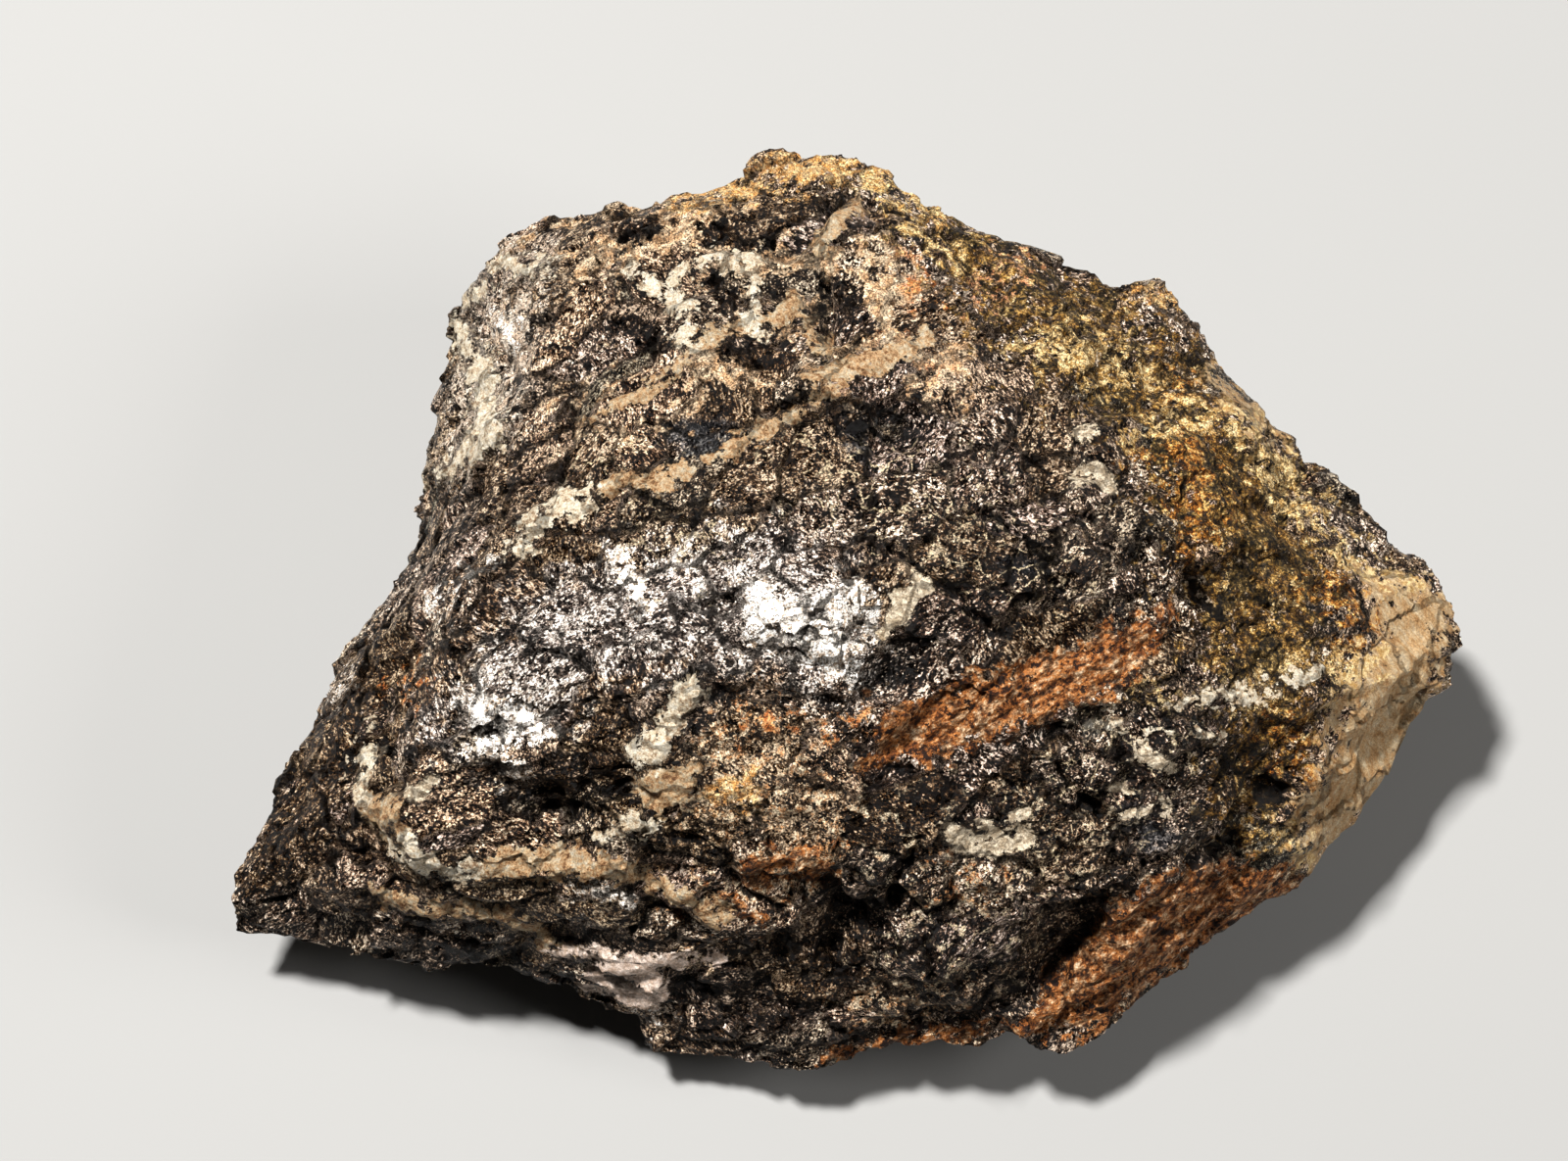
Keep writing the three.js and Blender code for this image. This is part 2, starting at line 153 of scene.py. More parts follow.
# Where each finish lies. A stroke is a row of (across, up, half width) in millimetres, on the picture
# plane through the camera's target, and it runs through the stone along the line of sight.
zones = {
    "cream": {
        "mainVeinTail": [(-31, 3.9, 0.9), (-28.5, 6.5, 1.4), (-25.7, 8.2, 1.6), (-22.2, 9.7, 0.9)],
        "brecciaPatch": [(-16.7, 35.5, 0.7), (-13.1, 34.2, 1.5), (-10.8, 31, 1.2), (-10.8, 26.9, 0.9)],
        "brecciaTop": [(-12.4, 36.2, 0.7), (-7.7, 37.3, 0.8), (-2.8, 36.9, 0.7)],
        "brecciaPost": [(-4.3, 35.3, 0.8), (-4, 32.1, 0.8), (-3.6, 29.4, 1)],
        "flankPatches": [
            (-37.5, 29.6, 1), (-35.9, 26, 1.4), (-34.1, 21.2, 1.5), (-33.9, 17.2, 1.8),
            (-37, 13.8, 1.1), (-40.2, 11.9, 0.7),
        ],
        "flankTop": [(-36.4, 32.5, 0.9), (-33.3, 35.8, 0.8), (-27.1, 36.6, 0.7)],
        "wingVein": [
            (-46.9, -16.2, 0.5), (-47.9, -19.1, 0.7), (-48.5, -22.3, 0.7), (-48.3, -24.8, 0.8),
        ],
        "wingCrystals": [
            (-44.9, -30.4, 0.9), (-41.8, -32.5, 1.1), (-39, -33.4, 1.2), (-35.6, -33.1, 0.7),
        ],
        "frontKnot": [(-9.5, -12.1, 0.9), (-11.5, -14.2, 1.4), (-13.1, -16.4, 1.1), (-16, -19.6, 1.7)],
        "frontThread": [(-20.9, -30.4, 0.5), (-18.1, -28.2, 0.8), (-14.9, -28.6, 0.5)],
        "rightThread": [(32.7, -16.1, 0.2), (39.5, -16.9, 0.3), (49.1, -18, 0.2)],
        "shoulderLine": [(45.2, -13.9, 0.3), (49.9, -13.5, 0.7), (55.5, -12.7, 0.7), (61.5, -11, 0.5)],
    },
    "peach": {
        "mainVein": [
            (-22.8, 9.5, 0.5), (-18.1, 11.1, 1.2), (-13.3, 11.9, 1.1), (-10.6, 13.2, 0.6),
            (-7.7, 14.7, 0.9), (-4.3, 16.3, 1), (-0.9, 18.3, 0.9), (2.3, 20.2, 0.6), (5.9, 22, 0.5),
        ],
        "widePatch": [(3.6, 23.8, 1.4), (8.1, 25.1, 1.8), (12.6, 26, 1.7), (16.4, 27.6, 1.2)],
        "minorVein": [
            (-22.8, 18.7, 0.5), (-18.1, 21.1, 0.6), (-14.9, 22.4, 0.8), (-12.2, 24.2, 0.6),
            (-10.6, 26.8, 0.7),
        ],
        "summitBand": [(3.2, 37.8, 0.9), (5.2, 40.4, 1.4), (7.7, 42.8, 1.4)],
        "brecciaFoot": [(-10.6, 27.2, 0.7), (-6.2, 28.7, 1), (-1.1, 30.2, 1), (0.7, 32.1, 0.8)],
        "brecciaRight": [(2, 30.2, 0.8), (4.3, 27.2, 1.2)],
        "wingHoney": [
            (-48.2, -23.9, 0.9), (-46.9, -26.1, 1.5), (-45.6, -28.6, 1.5), (-44.3, -30.7, 0.9),
        ],
        "lowerBand": [
            (-34.8, -33.4, 1), (-31.4, -32.5, 1.7), (-26.5, -32.5, 1.8), (-22, -32.7, 1.6),
            (-17.5, -33.6, 1.5), (-13.5, -35.3, 1), (-10.4, -36.8, 1.1), (-6.5, -38.8, 0.8),
        ],
        "honeyLump": [(-17.2, -23.4, 1.2), (-14.7, -24.3, 2.4), (-12.2, -23.2, 1.7), (-10.4, -21.8, 1)],
        "lowerBranch": [
            (-47.4, -35.3, 0.6), (-43.8, -36.8, 1), (-40.1, -38.1, 1.1), (-35.9, -38.3, 0.9),
            (-31.6, -38.8, 0.9), (-27.3, -41.5, 0.7), (-23.5, -43.3, 0.7),
        ],
    },
    "rust": {
        "band": [
            (10.5, -20.9, 1.6), (14.1, -18.3, 3.4), (18.6, -15.9, 3.8), (27.7, -13.4, 3),
            (33.9, -11.8, 3.3), (39.5, -7.6, 2.7), (43.8, -4.2, 0.7),
        ],
        "toe": [
            (29.4, -50.5, 1.8), (33.4, -48, 4.5), (38.6, -42.8, 5.2), (44.3, -38.8, 5),
            (50.2, -36.3, 4.1), (56.5, -34.7, 1.9), (59.6, -33.9, 0.8),
        ],
        "frontPatch": [(-3.6, -33.9, 1.5), (0, -32.5, 1.7), (4.3, -33.8, 1.5)],
        "frontSpot": [(-6.2, -37.5, 0.9), (-3.2, -38.7, 0.7)],
        "toeLedge": [
            (5.9, -55.3, 0.5), (11.3, -53.5, 0.9), (18.1, -52.2, 0.9), (23.7, -51.9, 0.8),
            (29.1, -51.9, 0.9),
        ],
    },
    "ochre": {
        "streak": [
            (43.8, 24.2, 0.9), (45.2, 21.5, 1.6), (45.8, 17.2, 1.8), (47, 12.5, 2.5), (47.6, 8, 2),
            (46.7, 3.7, 1),
        ],
        "streakArm": [(39.5, 13.8, 0.7), (42.9, 15.5, 1.1), (46.3, 17.2, 1.1)],
        "yellow": [(57.8, -17.6, 1.7), (58.5, -21.7, 1.7)],
        "nose": [(62.7, -0.8, 1.4), (66, -5.4, 1.6), (64.6, -9.9, 1.1)],
    },
    "olive": {
        "shoulder": [
            (36.1, 30.8, 3.4), (44, 21.7, 5.9), (50.8, 11.6, 7.5), (54.8, 1.4, 8.1), (56.5, -9.9, 7.5),
            (55.3, -20, 5.2), (53.1, -27.9, 3.4),
        ],
        "upper": [(16.9, 42.6, 2.5), (23.7, 35.8, 4.3), (30.5, 29.6, 4.7), (37.3, 25.1, 4.5)],
    },
    "host": {
        "nose": [
            (67.7, 0.3, 1.6), (72.3, -3.7, 4.1), (70.6, -12.1, 5.6), (67.5, -20, 5.6),
            (63.5, -27.4, 4.1), (59.8, -32.5, 1.8),
        ],
        "rim": [(50.2, 23.4, 0.7), (53.6, 20, 1.4), (56.5, 16.1, 1.1)],
    },
    "clay": {
        "upperFlakes": [(34.2, 16.8, 1), (35.9, 17.7, 0.8)],
        "midFlakes": [(33.6, 11.6, 1), (36.4, 12.5, 1.2), (37.5, 10.4, 0.9)],
        "fork": [
            (18.3, -29.1, 0.7), (21.2, -30.4, 1.2), (24.8, -30.9, 1.1), (27.8, -29.3, 0.9),
            (27.1, -27, 0.6),
        ],
        "forkArm": [(22.6, -27, 0.5), (24.6, -29.3, 0.8)],
        "triangle": [(37, -28.2, 0.3), (38.2, -23.4, 0.5), (43.4, -25.1, 0.3)],
        "triangleFoot": [(37, -28.2, 0.3), (39.5, -27.7, 0.3), (43.4, -25.1, 0.3)],
        "triangleArm": [(43.4, -25.1, 0.3), (44.7, -27.7, 0.3), (47.6, -28.6, 0.3)],
        "ledge": [(11.9, -5.6, 1), (14, -2.2, 1.4), (16, -0.6, 0.8)],
        "right": [(40.9, -20, 1), (44.3, -21.4, 0.8)],
        "frontLeft": [(-42.9, -24.6, 1.1), (-40.1, -23.4, 0.9)],
    },
    "silver": {
        "plateauLeft": [(-39.5, -16.7, 2.5), (-35, -15.5, 5), (-27.1, -8.8, 6.8), (-21.5, -4.2, 6.3)],
        "plateau": [
            (-20.3, -5.4, 5.6), (-11.3, -3.1, 7.5), (-2.3, -2, 8.4), (4.5, -6.5, 6.5),
            (8.1, -12.1, 2.5),
        ],
    },
    # The gleam zone: cleavage faces turned to the key light, whose colour is also a painted highlight,
    # near white
    "gleam": {
        "main": [(-4, 0.1, 1.1), (-1.1, -4.5, 3.2), (4.1, -5.4, 3.8), (7.7, -11.2, 2)],
        "mainArm": [(6.5, -0.8, 0.9), (9.7, -3.3, 1.6), (11.9, -7.1, 1)],
        "left": [(-35.6, -13.9, 1.4), (-33.9, -18, 2.5), (-31.4, -21.4, 1.6)],
        "leftArm": [(-31.6, -14.4, 1), (-28.5, -16.9, 1)],
        "sliver": [(-19.2, 2, 0.9), (-17.5, 0.3, 1.4), (-15.4, -2.4, 0.7)],
        "middle": [(-11.3, 3.7, 0.7), (-9.9, 0.3, 0.9)],
        "lowerSpot": [(-24.6, -35.3, 0.8), (-21.5, -35.1, 1.7), (-18.1, -37, 0.9)],
        "quartzSpot": [(-16.7, -48.5, 0.9), (-14.9, -49.8, 1)],
        "flankSpot": [(-31.8, 29.1, 0.8), (-31.4, 27.6, 1.1)],
        "edgeSpots": [(-40.6, -3.1, 0.6), (-37.3, 0.3, 0.7), (-33.9, 2.5, 0.5)],
        "wingSpots": [(-51.9, -13.5, 0.6), (-49.9, -11.2, 0.6)],
        "rightSpot": [(33.2, -16.2, 0.3), (34.1, -16.8, 0.3)],
    },
    # Real hollows in the relief, also painted near black as shade
    "shadedHollow": {
        "underPlateau": [
            (-33.9, -22.1, 1.1), (-29.9, -24.6, 1.8), (-23.7, -25.2, 1.9), (-18.5, -23.7, 1),
        ],
        "belowGlare": [(9.6, -12.1, 1.8), (14.1, -8.5, 2.3), (18.3, -5.9, 1.6)],
        "peachShadow": [(7.7, 18.6, 1.4), (11.3, 17.7, 2.3), (16.4, 18.3, 1.6)],
        "breccia": [(3.6, 33.9, 1), (4.3, 29.6, 1.4)],
        "frontCleft": [(5.2, -35.3, 0.8), (7, -38.1, 1.4), (5.6, -42.1, 1.4)],
        "summitStreak": [(7, 45.4, 0.6), (3.6, 41.5, 0.8), (0, 37.3, 0.6)],
        "toeGap": [(36.1, -38.7, 0.9), (32.2, -43.2, 1), (29.6, -47.1, 0.8), (24.8, -49.6, 0.6)],
        "underBand": [(22.6, -20.3, 0.7), (29.4, -17.2, 0.8), (36.1, -16.4, 0.9)],
        "wingCrease": [(-45.6, -14.4, 0.5), (-46.1, -18.9, 0.6), (-45.4, -23.4, 0.6)],
        "plateauFoot": [(-7.3, -12.8, 0.5), (-1.1, -13.6, 0.6), (5.6, -14.8, 0.7)],
    },
    # Holes in the relief, also painted near black as shade
    "holes": {
        "rearHole": [(43.8, 24, 0.8), (44.3, 23.5, 0.7)],
        "shoulderCrack": [(46.7, 0.1, 0.6), (48.3, -2.2, 0.8), (51, -4, 0.5)],
        "noseHole": [(55.5, -24.8, 1.4), (57.4, -25.2, 1.2)],
        "edgeHole": [(65.3, 8.9, 0.6), (65.9, 8.4, 0.6)],
        "middleCracks": [(11.9, 3.7, 0.3), (18.1, -0.8, 0.5), (23.7, -5.4, 0.3)],
        "ridgeCracks": [(23.7, 8.2, 0.3), (29.4, 3.7, 0.5), (32.7, -2, 0.3)],
        "frontCracks": [(15.2, -30, 0.3), (13, -34.2, 0.6), (11.9, -37, 0.5)],
        "rightCracks": [(31.6, -21.4, 0.5), (36.4, -27, 0.6)],
        "noseCracks": [(46.3, -32.7, 0.5), (51.5, -30, 0.6)],
        "tanCracks": [(-12.4, -28.8, 0.3), (-8.8, -31.3, 0.5), (-4.5, -35.3, 0.5), (0, -38.7, 0.6)],
        "breccia": [(4.1, 34.6, 0.5), (4.7, 32.3, 0.6), (4.3, 29.6, 0.5)],
        "besideRust": [(10.5, -23.4, 0.5), (11.9, -22.3, 0.6), (14.7, -22.5, 0.5)],
    },
    "quartz": {
        "lump": [(-21.9, -46.2, 1.4), (-19, -45.8, 2.7), (-15.8, -46.5, 2), (-17.5, -48, 1.6)],
        "strip": [(-26.5, -42.8, 0.6), (-22.6, -43.5, 0.7), (-12.4, -44, 0.7), (-7.3, -43.8, 0.6)],
    },
    "speckle": {
        "flank": [
            (-37.3, 30.8, 2), (-32.7, 37.3, 2.9), (-27.1, 38.7, 2), (-31.6, 29.6, 5),
            (-34.4, 19.5, 5.9), (-38.4, 12.7, 2.9),
        ],
    },
    "threads": {
        "middle": [(4.5, 13.8, 4.5), (18.1, 8.2, 7.9), (29.4, -0.8, 6.8)],
        "right": [(32.7, -12.1, 3.4), (42.9, -18.9, 5.6), (29.4, -30.2, 6.8), (18.1, -41.5, 5.6)],
        "left": [(-20.3, 12.7, 4.5), (-11.3, 3.7, 4.5)],
    },
    "amber": {
        "summit": [
            (-11.3, 43.4, 0.9), (-6.5, 44.8, 1.1), (-2.3, 46, 1.5), (1.4, 47.3, 1.7), (5.6, 47.9, 1.8),
            (10.2, 47.4, 1.4), (13, 46.1, 0.9),
        ],
        "spots": [(14.1, 43.8, 0.9), (17.8, 42.3, 1)],
        "knob": [(42, 33.5, 0.9), (44.3, 32.8, 0.7)],
        "honeyCrumbs": [(-9, -24.8, 0.8), (-5.4, -23.4, 1), (-4.5, -25.9, 0.9)],
    },
    # A darker tone: partly darker ore, and partly painted shade in the recesses under the plateau and
    # beside the toe, and along the stone's lower front
    "dark": {
        "recess": [(-34.4, -22.3, 1.6), (-27.1, -25.1, 2.7), (-18.1, -23.4, 1.8)],
        "wing": [(-59.8, -32.5, 2.9), (-54.2, -24.6, 4.5), (-48, -14.4, 3.4)],
        "front": [
            (5.6, -34.7, 2.9), (9, -41.5, 5.6), (18.1, -47.1, 5.6), (11.3, -27.9, 4.5),
            (20.3, -23.4, 4.5),
        ],
        "right": [(22.6, -26.8, 5.6), (33.9, -23.4, 6.3), (45.2, -22.3, 6.8), (55.3, -22.3, 3.4)],
        "gap": [(38.4, -34.7, 2.3), (31.6, -41.5, 2.9), (26, -47.1, 2.3)],
        "underSeam": [(46.5, -18, 2), (52.2, -19.1, 2.9), (55.5, -22.3, 2.3)],
        "below": [(-41.8, -41.5, 2.3), (-29.4, -44.3, 2.3), (-11.3, -47.1, 3.4), (0, -51.7, 2.9)],
        "ridge": [(7.9, 18.6, 2.9), (13.5, 18.3, 2.7)],
        "besideGleam": [(13, -8.8, 1.8), (16.4, -6.5, 1.6)],
        "middle": [(9, 10.4, 2.3), (18.1, 7.1, 4.1), (27.1, 0.3, 5.2), (20.3, -4.2, 3.4)],
    },
    "specks": {
        "front": [(10.2, -27.9, 4.5), (19.2, -34.7, 7.5), (28.2, -29.1, 6.8)],
        "low": [(14.7, -43.8, 5.6), (24.8, -41.5, 4.5)],
        "rightEdge": [(42.9, -32.5, 2.3), (50.8, -29.1, 2.3)],
        "middle": [(14.7, 0.3, 2.7), (22.6, 8.2, 2.7)],
    },
    "orange": {
        "besideBand": [(7, -17.1, 1), (11.3, -16, 1.4)],
        "upper": [(-4, -16.1, 1.5), (0.6, -16.9, 1.2)],
        "middle": [(3.6, -32.9, 1.7), (5.6, -30.4, 1)],
        "lower": [(-11.3, -36.4, 1.2), (-7, -38.3, 1)],
        "wing": [(-44.7, -13.5, 0.9), (-43.1, -12.1, 0.8)],
        "right": [(17.5, -33.8, 0.9), (22.6, -35.3, 0.9)],
        "ridge": [(16.9, 33, 1), (15.8, 34.7, 0.8)],
    },
    "fragments": {
        "top": [(-8.8, 39.8, 1.5), (-2.3, 39.5, 1.7)],
        "topLeft": [(-18.5, 40.3, 1.4), (-15.6, 40.7, 1.4)],
        "centre": [(-7.6, 34.8, 1.6), (-7.1, 31.7, 1.6)],
        "right": [(-1.6, 34.8, 1.1), (-1.2, 32.1, 1.1)],
        "left": [(-16, 33.9, 1.1), (-14.9, 33, 1.1)],
        "leftLow": [(-15.8, 29.1, 1.6), (-14.5, 26.5, 1.8)],
        "low": [(-5.6, 26.7, 1.6), (-1.1, 26, 1.8)],
        "lowRight": [(3.2, 27.2, 1), (4.1, 25.6, 1)],
        "summit": [(0.7, 41.4, 1), (2.7, 44.3, 1.2)],
        "rightSide": [(6.5, 33, 2), (8.1, 29.6, 1.8)],
    },
    "web": {
        "breccia": [
            (-29.4, 37.3, 1.4), (-20.3, 38.7, 2.3), (-9, 39.8, 4.1), (0, 34.2, 6.5), (9, 30.8, 7.9),
            (16.9, 27.4, 4.5),
        ],
        "foot": [(-22.6, 18.9, 0.9), (-13.5, 22.9, 2.3), (-5.6, 26.3, 3.4)],
    },
    "tan": {
        "upper": [(-9, -18, 2.3), (-3.4, -17.2, 3.4), (1.7, -20, 3.4)],
        "middle": [(-13.5, -23.4, 1.8), (-4.5, -24.8, 4.5), (3.4, -26.8, 4.1)],
        "lower": [(-11.3, -36.4, 2.5), (-3.4, -34.7, 4.1), (4.5, -32.5, 2.9)],
        "spot": [(6.2, -17.2, 0.9), (10.2, -16.1, 1.6)],
        "right": [(16.9, -33.6, 1.4), (22.6, -35.3, 1.4)],
        "bottom": [(9, -49.4, 1.6), (16.9, -48.3, 1.4)],
    },
    "blush": {
        "summit": [(14.5, 37.3, 0.9), (15.6, 33, 1.4)],
        "ridge": [(5.6, 23.4, 1.4), (11.9, 27.2, 1.8), (16, 24.6, 1.6)],
        "shoulder": [(22.6, 33, 1.6), (27.7, 36.6, 1.4)],
    },
    "brown": {
        "wing": [(-62.1, -34.7, 1.6), (-56.5, -26.8, 4.5), (-50.8, -18.9, 5.4), (-46.3, -11, 3.8)],
        "splinters": [(-27.1, -23.4, 1.4), (-18.1, -26.8, 2.3), (-9, -29.1, 2.7)],
    },
    "blue": {
        "upper": [(-12.4, 16.3, 1.6), (-7.3, 15.9, 2)],
        "ridge": [(6.5, 18.9, 1.1), (9.3, 16.5, 1.6)],
        "front": [(39.5, -25.9, 1.2), (42, -29.1, 1.6), (45.6, -29.1, 1.2)],
        "middle": [(26, 1.4, 1), (28, 1, 0.8)],
    },
    "pale": {
        "summit": [(7.7, 46.8, 0.7), (11.9, 45.7, 1.2), (16, 42.6, 1.7)],
        "upper": [(14.7, 40.4, 1.1), (19.8, 37.3, 1.1)],
        "ridge": [(27.1, 27.2, 0.9), (32.7, 26.7, 1.6), (38.4, 25.7, 2), (42.7, 23.3, 1.4)],
        "crust": [(43.6, 18.1, 1), (46.5, 19, 1)],
        "streak": [(41.2, 16.7, 1), (45.2, 19.5, 1.1), (48.5, 19, 0.9)],
        "shoulder": [(51.5, 19.5, 1.4), (55.1, 14.3, 2), (60.1, 8.4, 2.3)],
        "seam": [
            (39.5, -12.1, 0.3), (46.3, -13.5, 0.7), (51.9, -12.8, 0.9), (59.8, -11.2, 1.4),
            (67.7, -9.4, 1.6),
        ],
        "nose": [(61.5, 5.9, 0.9), (66.6, 2, 1.1), (72.3, -0.4, 0.9)],
        "foot": [(57.6, -30.4, 1.1), (60.4, -32, 1.1)],
    },
}

# How the zones sway off their strokes, and where they stop on the sides that the photo doesn't show.
wander = {
    "sways": [(5, (71, 73), 0.8), (1.6, (75, 77), 0.35)],  # size, seeds and reach, in millimetres
    "turnedAway": 0.1,
    "fade": 5,  # millimetres off a zone's distance on the far side
    "gone": 60,
    "patches": {"size": 7, "seed": 79, "octaves": 2},
    "seenOnly": ("clay", "silver", "gleam", "shadedHollow", "holes", "quartz", "blue", "tan", "blush",
                 "pale"),
}


def seenPlaces(points):
    # points in metres to (across, up) in millimetres on the picture plane
    eye, forward, upward = (np.array(axis) for axis in viewAxes())
    offset = points - eye
    scale = view["distance"] / (offset @ forward) * 1000
    return np.stack([offset[:, 0] * scale, (offset @ upward) * scale], axis=1)


def strokeDistance(seen, stroke):
    # signed distance to a stroke's edge, below zero inside it
    best = np.full(len(seen), np.inf)
    for (x0, y0, w0), (x1, y1, w1) in zip(stroke, stroke[1:]):
        start, run = np.array([x0, y0]), np.array([x1 - x0, y1 - y0])
        along = np.clip(((seen - start) @ run) / (run @ run), 0, 1)
        gap = np.hypot(*(seen - start - along[:, None] * run).T)
        best = np.minimum(best, gap - (w0 + (w1 - w0) * along))
    return best


def zoneDistances(points, normals):
    place = points * 1000
    sway = sum(smoothNoises(place, size, seeds) * reach for size, seeds, reach in wander["sways"])
    seen = seenPlaces(points) + sway
    hidden = np.clip(normals @ np.array(viewAxes()[1]) + wander["turnedAway"], 0, 1)
    fade = wander["fade"] * (1 + smoothNoise(place, **wander["patches"]))
    distances = {}
    for zone, strokes in zones.items():
        distance = np.min([strokeDistance(seen, stroke) for stroke in strokes.values()], axis=0)
        distances[zone] = distance + hidden * (wander["gone"] if zone in wander["seenOnly"] else fade)
    return distances


def inside(distance, soft=0.4):
    return 1 / (1 + np.exp(np.clip(distance / soft * 2, -40, 40)))


# The stone's relief. Sizes, heights, depths, widths and reaches are in millimetres, "rise" in degrees.
stone = {
    "voxel": 0.00043,
    "mostTriangles": 195000,
    "clasts": {"size": 6.2, "stretch": 1.6, "rise": 27, "seed": 1},
    "clastBends": [(4, range(5, 8), 2, 1.1), (1.2, range(105, 108), 1, 0.25)],
    "clastFaces": {"tilt": 0.15, "step": 0.45},
    "warp": {"size": 2, "reach": 0.4},  # bends the small cells out of their straight lines
    "crystals": {"size": 2.0, "tilt": 0.22, "step": 0.12, "seed": 3},
    "hackly": (0.35, 0.9),  # the least, and how much more a clast's luck adds
    "cleavage": {"size": 0.9, "height": 0.10, "drawnOut": 0.6},
    "crumb": {"size": 1.3, "height": 0.07},
    "smoother": {"crystals": 0.7, "clasts": 0.4},  # what veins, rust, host and quartz take away
    "ledges": {"spacing": 2.9, "height": 0.45, "rise": 27, "lean": 0.4, "wander": 3.5, "bend": 11,
               "patch": 9},
    "gleam": {"lean": (-0.16, -0.07, 0.985), "steepest": 0.6, "size": 2.6, "spread": 0.12,
              "step": 0.5, "ripple": 0.04},
    "veins": {"rise": 0.3, "grainSize": 1.4, "grainHeight": 0.3},
    "quartzRise": 0.9,
    "pits": {"size": 3.2, "radius": 0.55, "depth": 0.6, "everywhere": 0.25},
    "toeGrooves": {"size": 1.4, "height": 0.7, "rise": 40, "stretch": 5, "deepStretch": 1.5},
    "cracks": {"width": 0.4, "depth": 0.4},
    "hollowDepth": 2.1,
    "holeDepth": 1.7,
    "clay": {"smoother": 0.7, "depth": 0.15},
}


def clasts(points):
    # the ore's fragments, longer along the layering
    place = points * 1000
    for size, seeds, octaves, reach in stone["clastBends"]:
        place = place + smoothNoises(place, size, seeds, octaves) * reach
    turn = math.radians(stone["clasts"]["rise"])
    direction = np.array([math.cos(turn), math.sin(turn), 0])
    place -= direction * (place @ direction)[:, None] * (1 - 1 / stone["clasts"]["stretch"])
    return nearestCell(place, stone["clasts"]["size"], stone["clasts"]["seed"])


def cleavageDirections(owner):
    # each clast's own direction of fine grooves
    way = scatteredVectors(owner, 61) - 0.5
    return way / np.linalg.norm(way, axis=1)[:, None]


def turnedPlaces(place, degrees):
    # along and across a direction in plan
    turn = math.radians(degrees)
    along = place[:, 0] * math.cos(turn) + place[:, 1] * math.sin(turn)
    return along, place[:, 1] * math.cos(turn) - place[:, 0] * math.sin(turn)


def clastRise(place, warped, owner, away, soft):
    # tilted fragments with small crystal faces, and grooves along each fragment's own direction
    rise = facetRise(owner, away, **stone["clastFaces"])
    least, more = stone["hackly"]
    cleavage = stone["cleavage"]
    way = cleavageDirections(owner)
    along = place - way * (place * way).sum(axis=1)[:, None] * cleavage["drawnOut"]
    crystal = stone["crystals"]
    cell, away, _ = nearestCell(warped, crystal["size"], crystal["seed"])
    rough = facetRise(cell, away, crystal["tilt"], crystal["step"], crystal["seed"])
    rough = rough * (least + more * scattered(owner, 21))
    rough = rough + cleavage["height"] * smoothNoise(along, cleavage["size"], 31, 2)
    smoother = stone["smoother"]
    rise = (rise + rough * (1 - smoother["crystals"] * soft)) * (1 - smoother["clasts"] * soft)
    return rise + stone["crumb"]["height"] * smoothNoise(place, stone["crumb"]["size"], 9, 2)


def ledgeRise(place):
    # uneven steps along the layering, that come and go
    ledges = stone["ledges"]
    across = turnedPlaces(place, ledges["rise"])[1] + ledges["lean"] * place[:, 2]
    across += ledges["wander"] * smoothNoise(place, ledges["bend"], 15, 2)
    patchy = np.clip(smoothNoise(place, ledges["patch"], 25) * 2 + 0.5, 0, 1)
    return ledges["height"] * (0.5 - across / ledges["spacing"] % 1) * patchy


def gleamRise(place, normals, warped):
    # the plateau's cleavage faces, all turned to one direction with a little spread
    gleam = stone["gleam"]
    shine = np.array(gleam["lean"])
    facing = (normals @ shine)[:, None]
    turned = -(shine - normals * facing) / np.maximum(facing, 0.3)
    steepness = np.maximum(np.linalg.norm(turned, axis=1), 1e-6)
    turned *= np.minimum(1, gleam["steepest"] / steepness)[:, None]
    face, away, _ = nearestCell(warped, gleam["size"], 57)
    turned += (scatteredVectors(face, 91) - 0.5) * gleam["spread"]
    mirror = (away * turned).sum(axis=1) + (scattered(face, 95) - 0.5) * gleam["step"]
    return mirror + gleam["ripple"] * smoothNoise(place, 1.0, 97)


def veinRise(warped):
    # raised and grainy
    veins = stone["veins"]
    _, away, _ = nearestCell(warped, veins["grainSize"], 33)
    lump = 1 - (away**2).sum(axis=1) / veins["grainSize"] ** 2 * 2
    return veins["rise"] + veins["grainHeight"] * lump


def pitDepth(place):
    pits = stone["pits"]
    _, away, _ = nearestCell(place, pits["size"], 43)
    return pits["depth"] * np.exp(-(away**2).sum(axis=1) / pits["radius"] ** 2)


def toeRise(place):
    # long grooves in the rusty slab
    grooves = stone["toeGrooves"]
    along, across = turnedPlaces(place, grooves["rise"])
    deep = place[:, 2] / grooves["deepStretch"]
    streak = np.stack([across, along / grooves["stretch"], deep], axis=1)
    return grooves["height"] * smoothNoise(streak, grooves["size"], 51, 3)


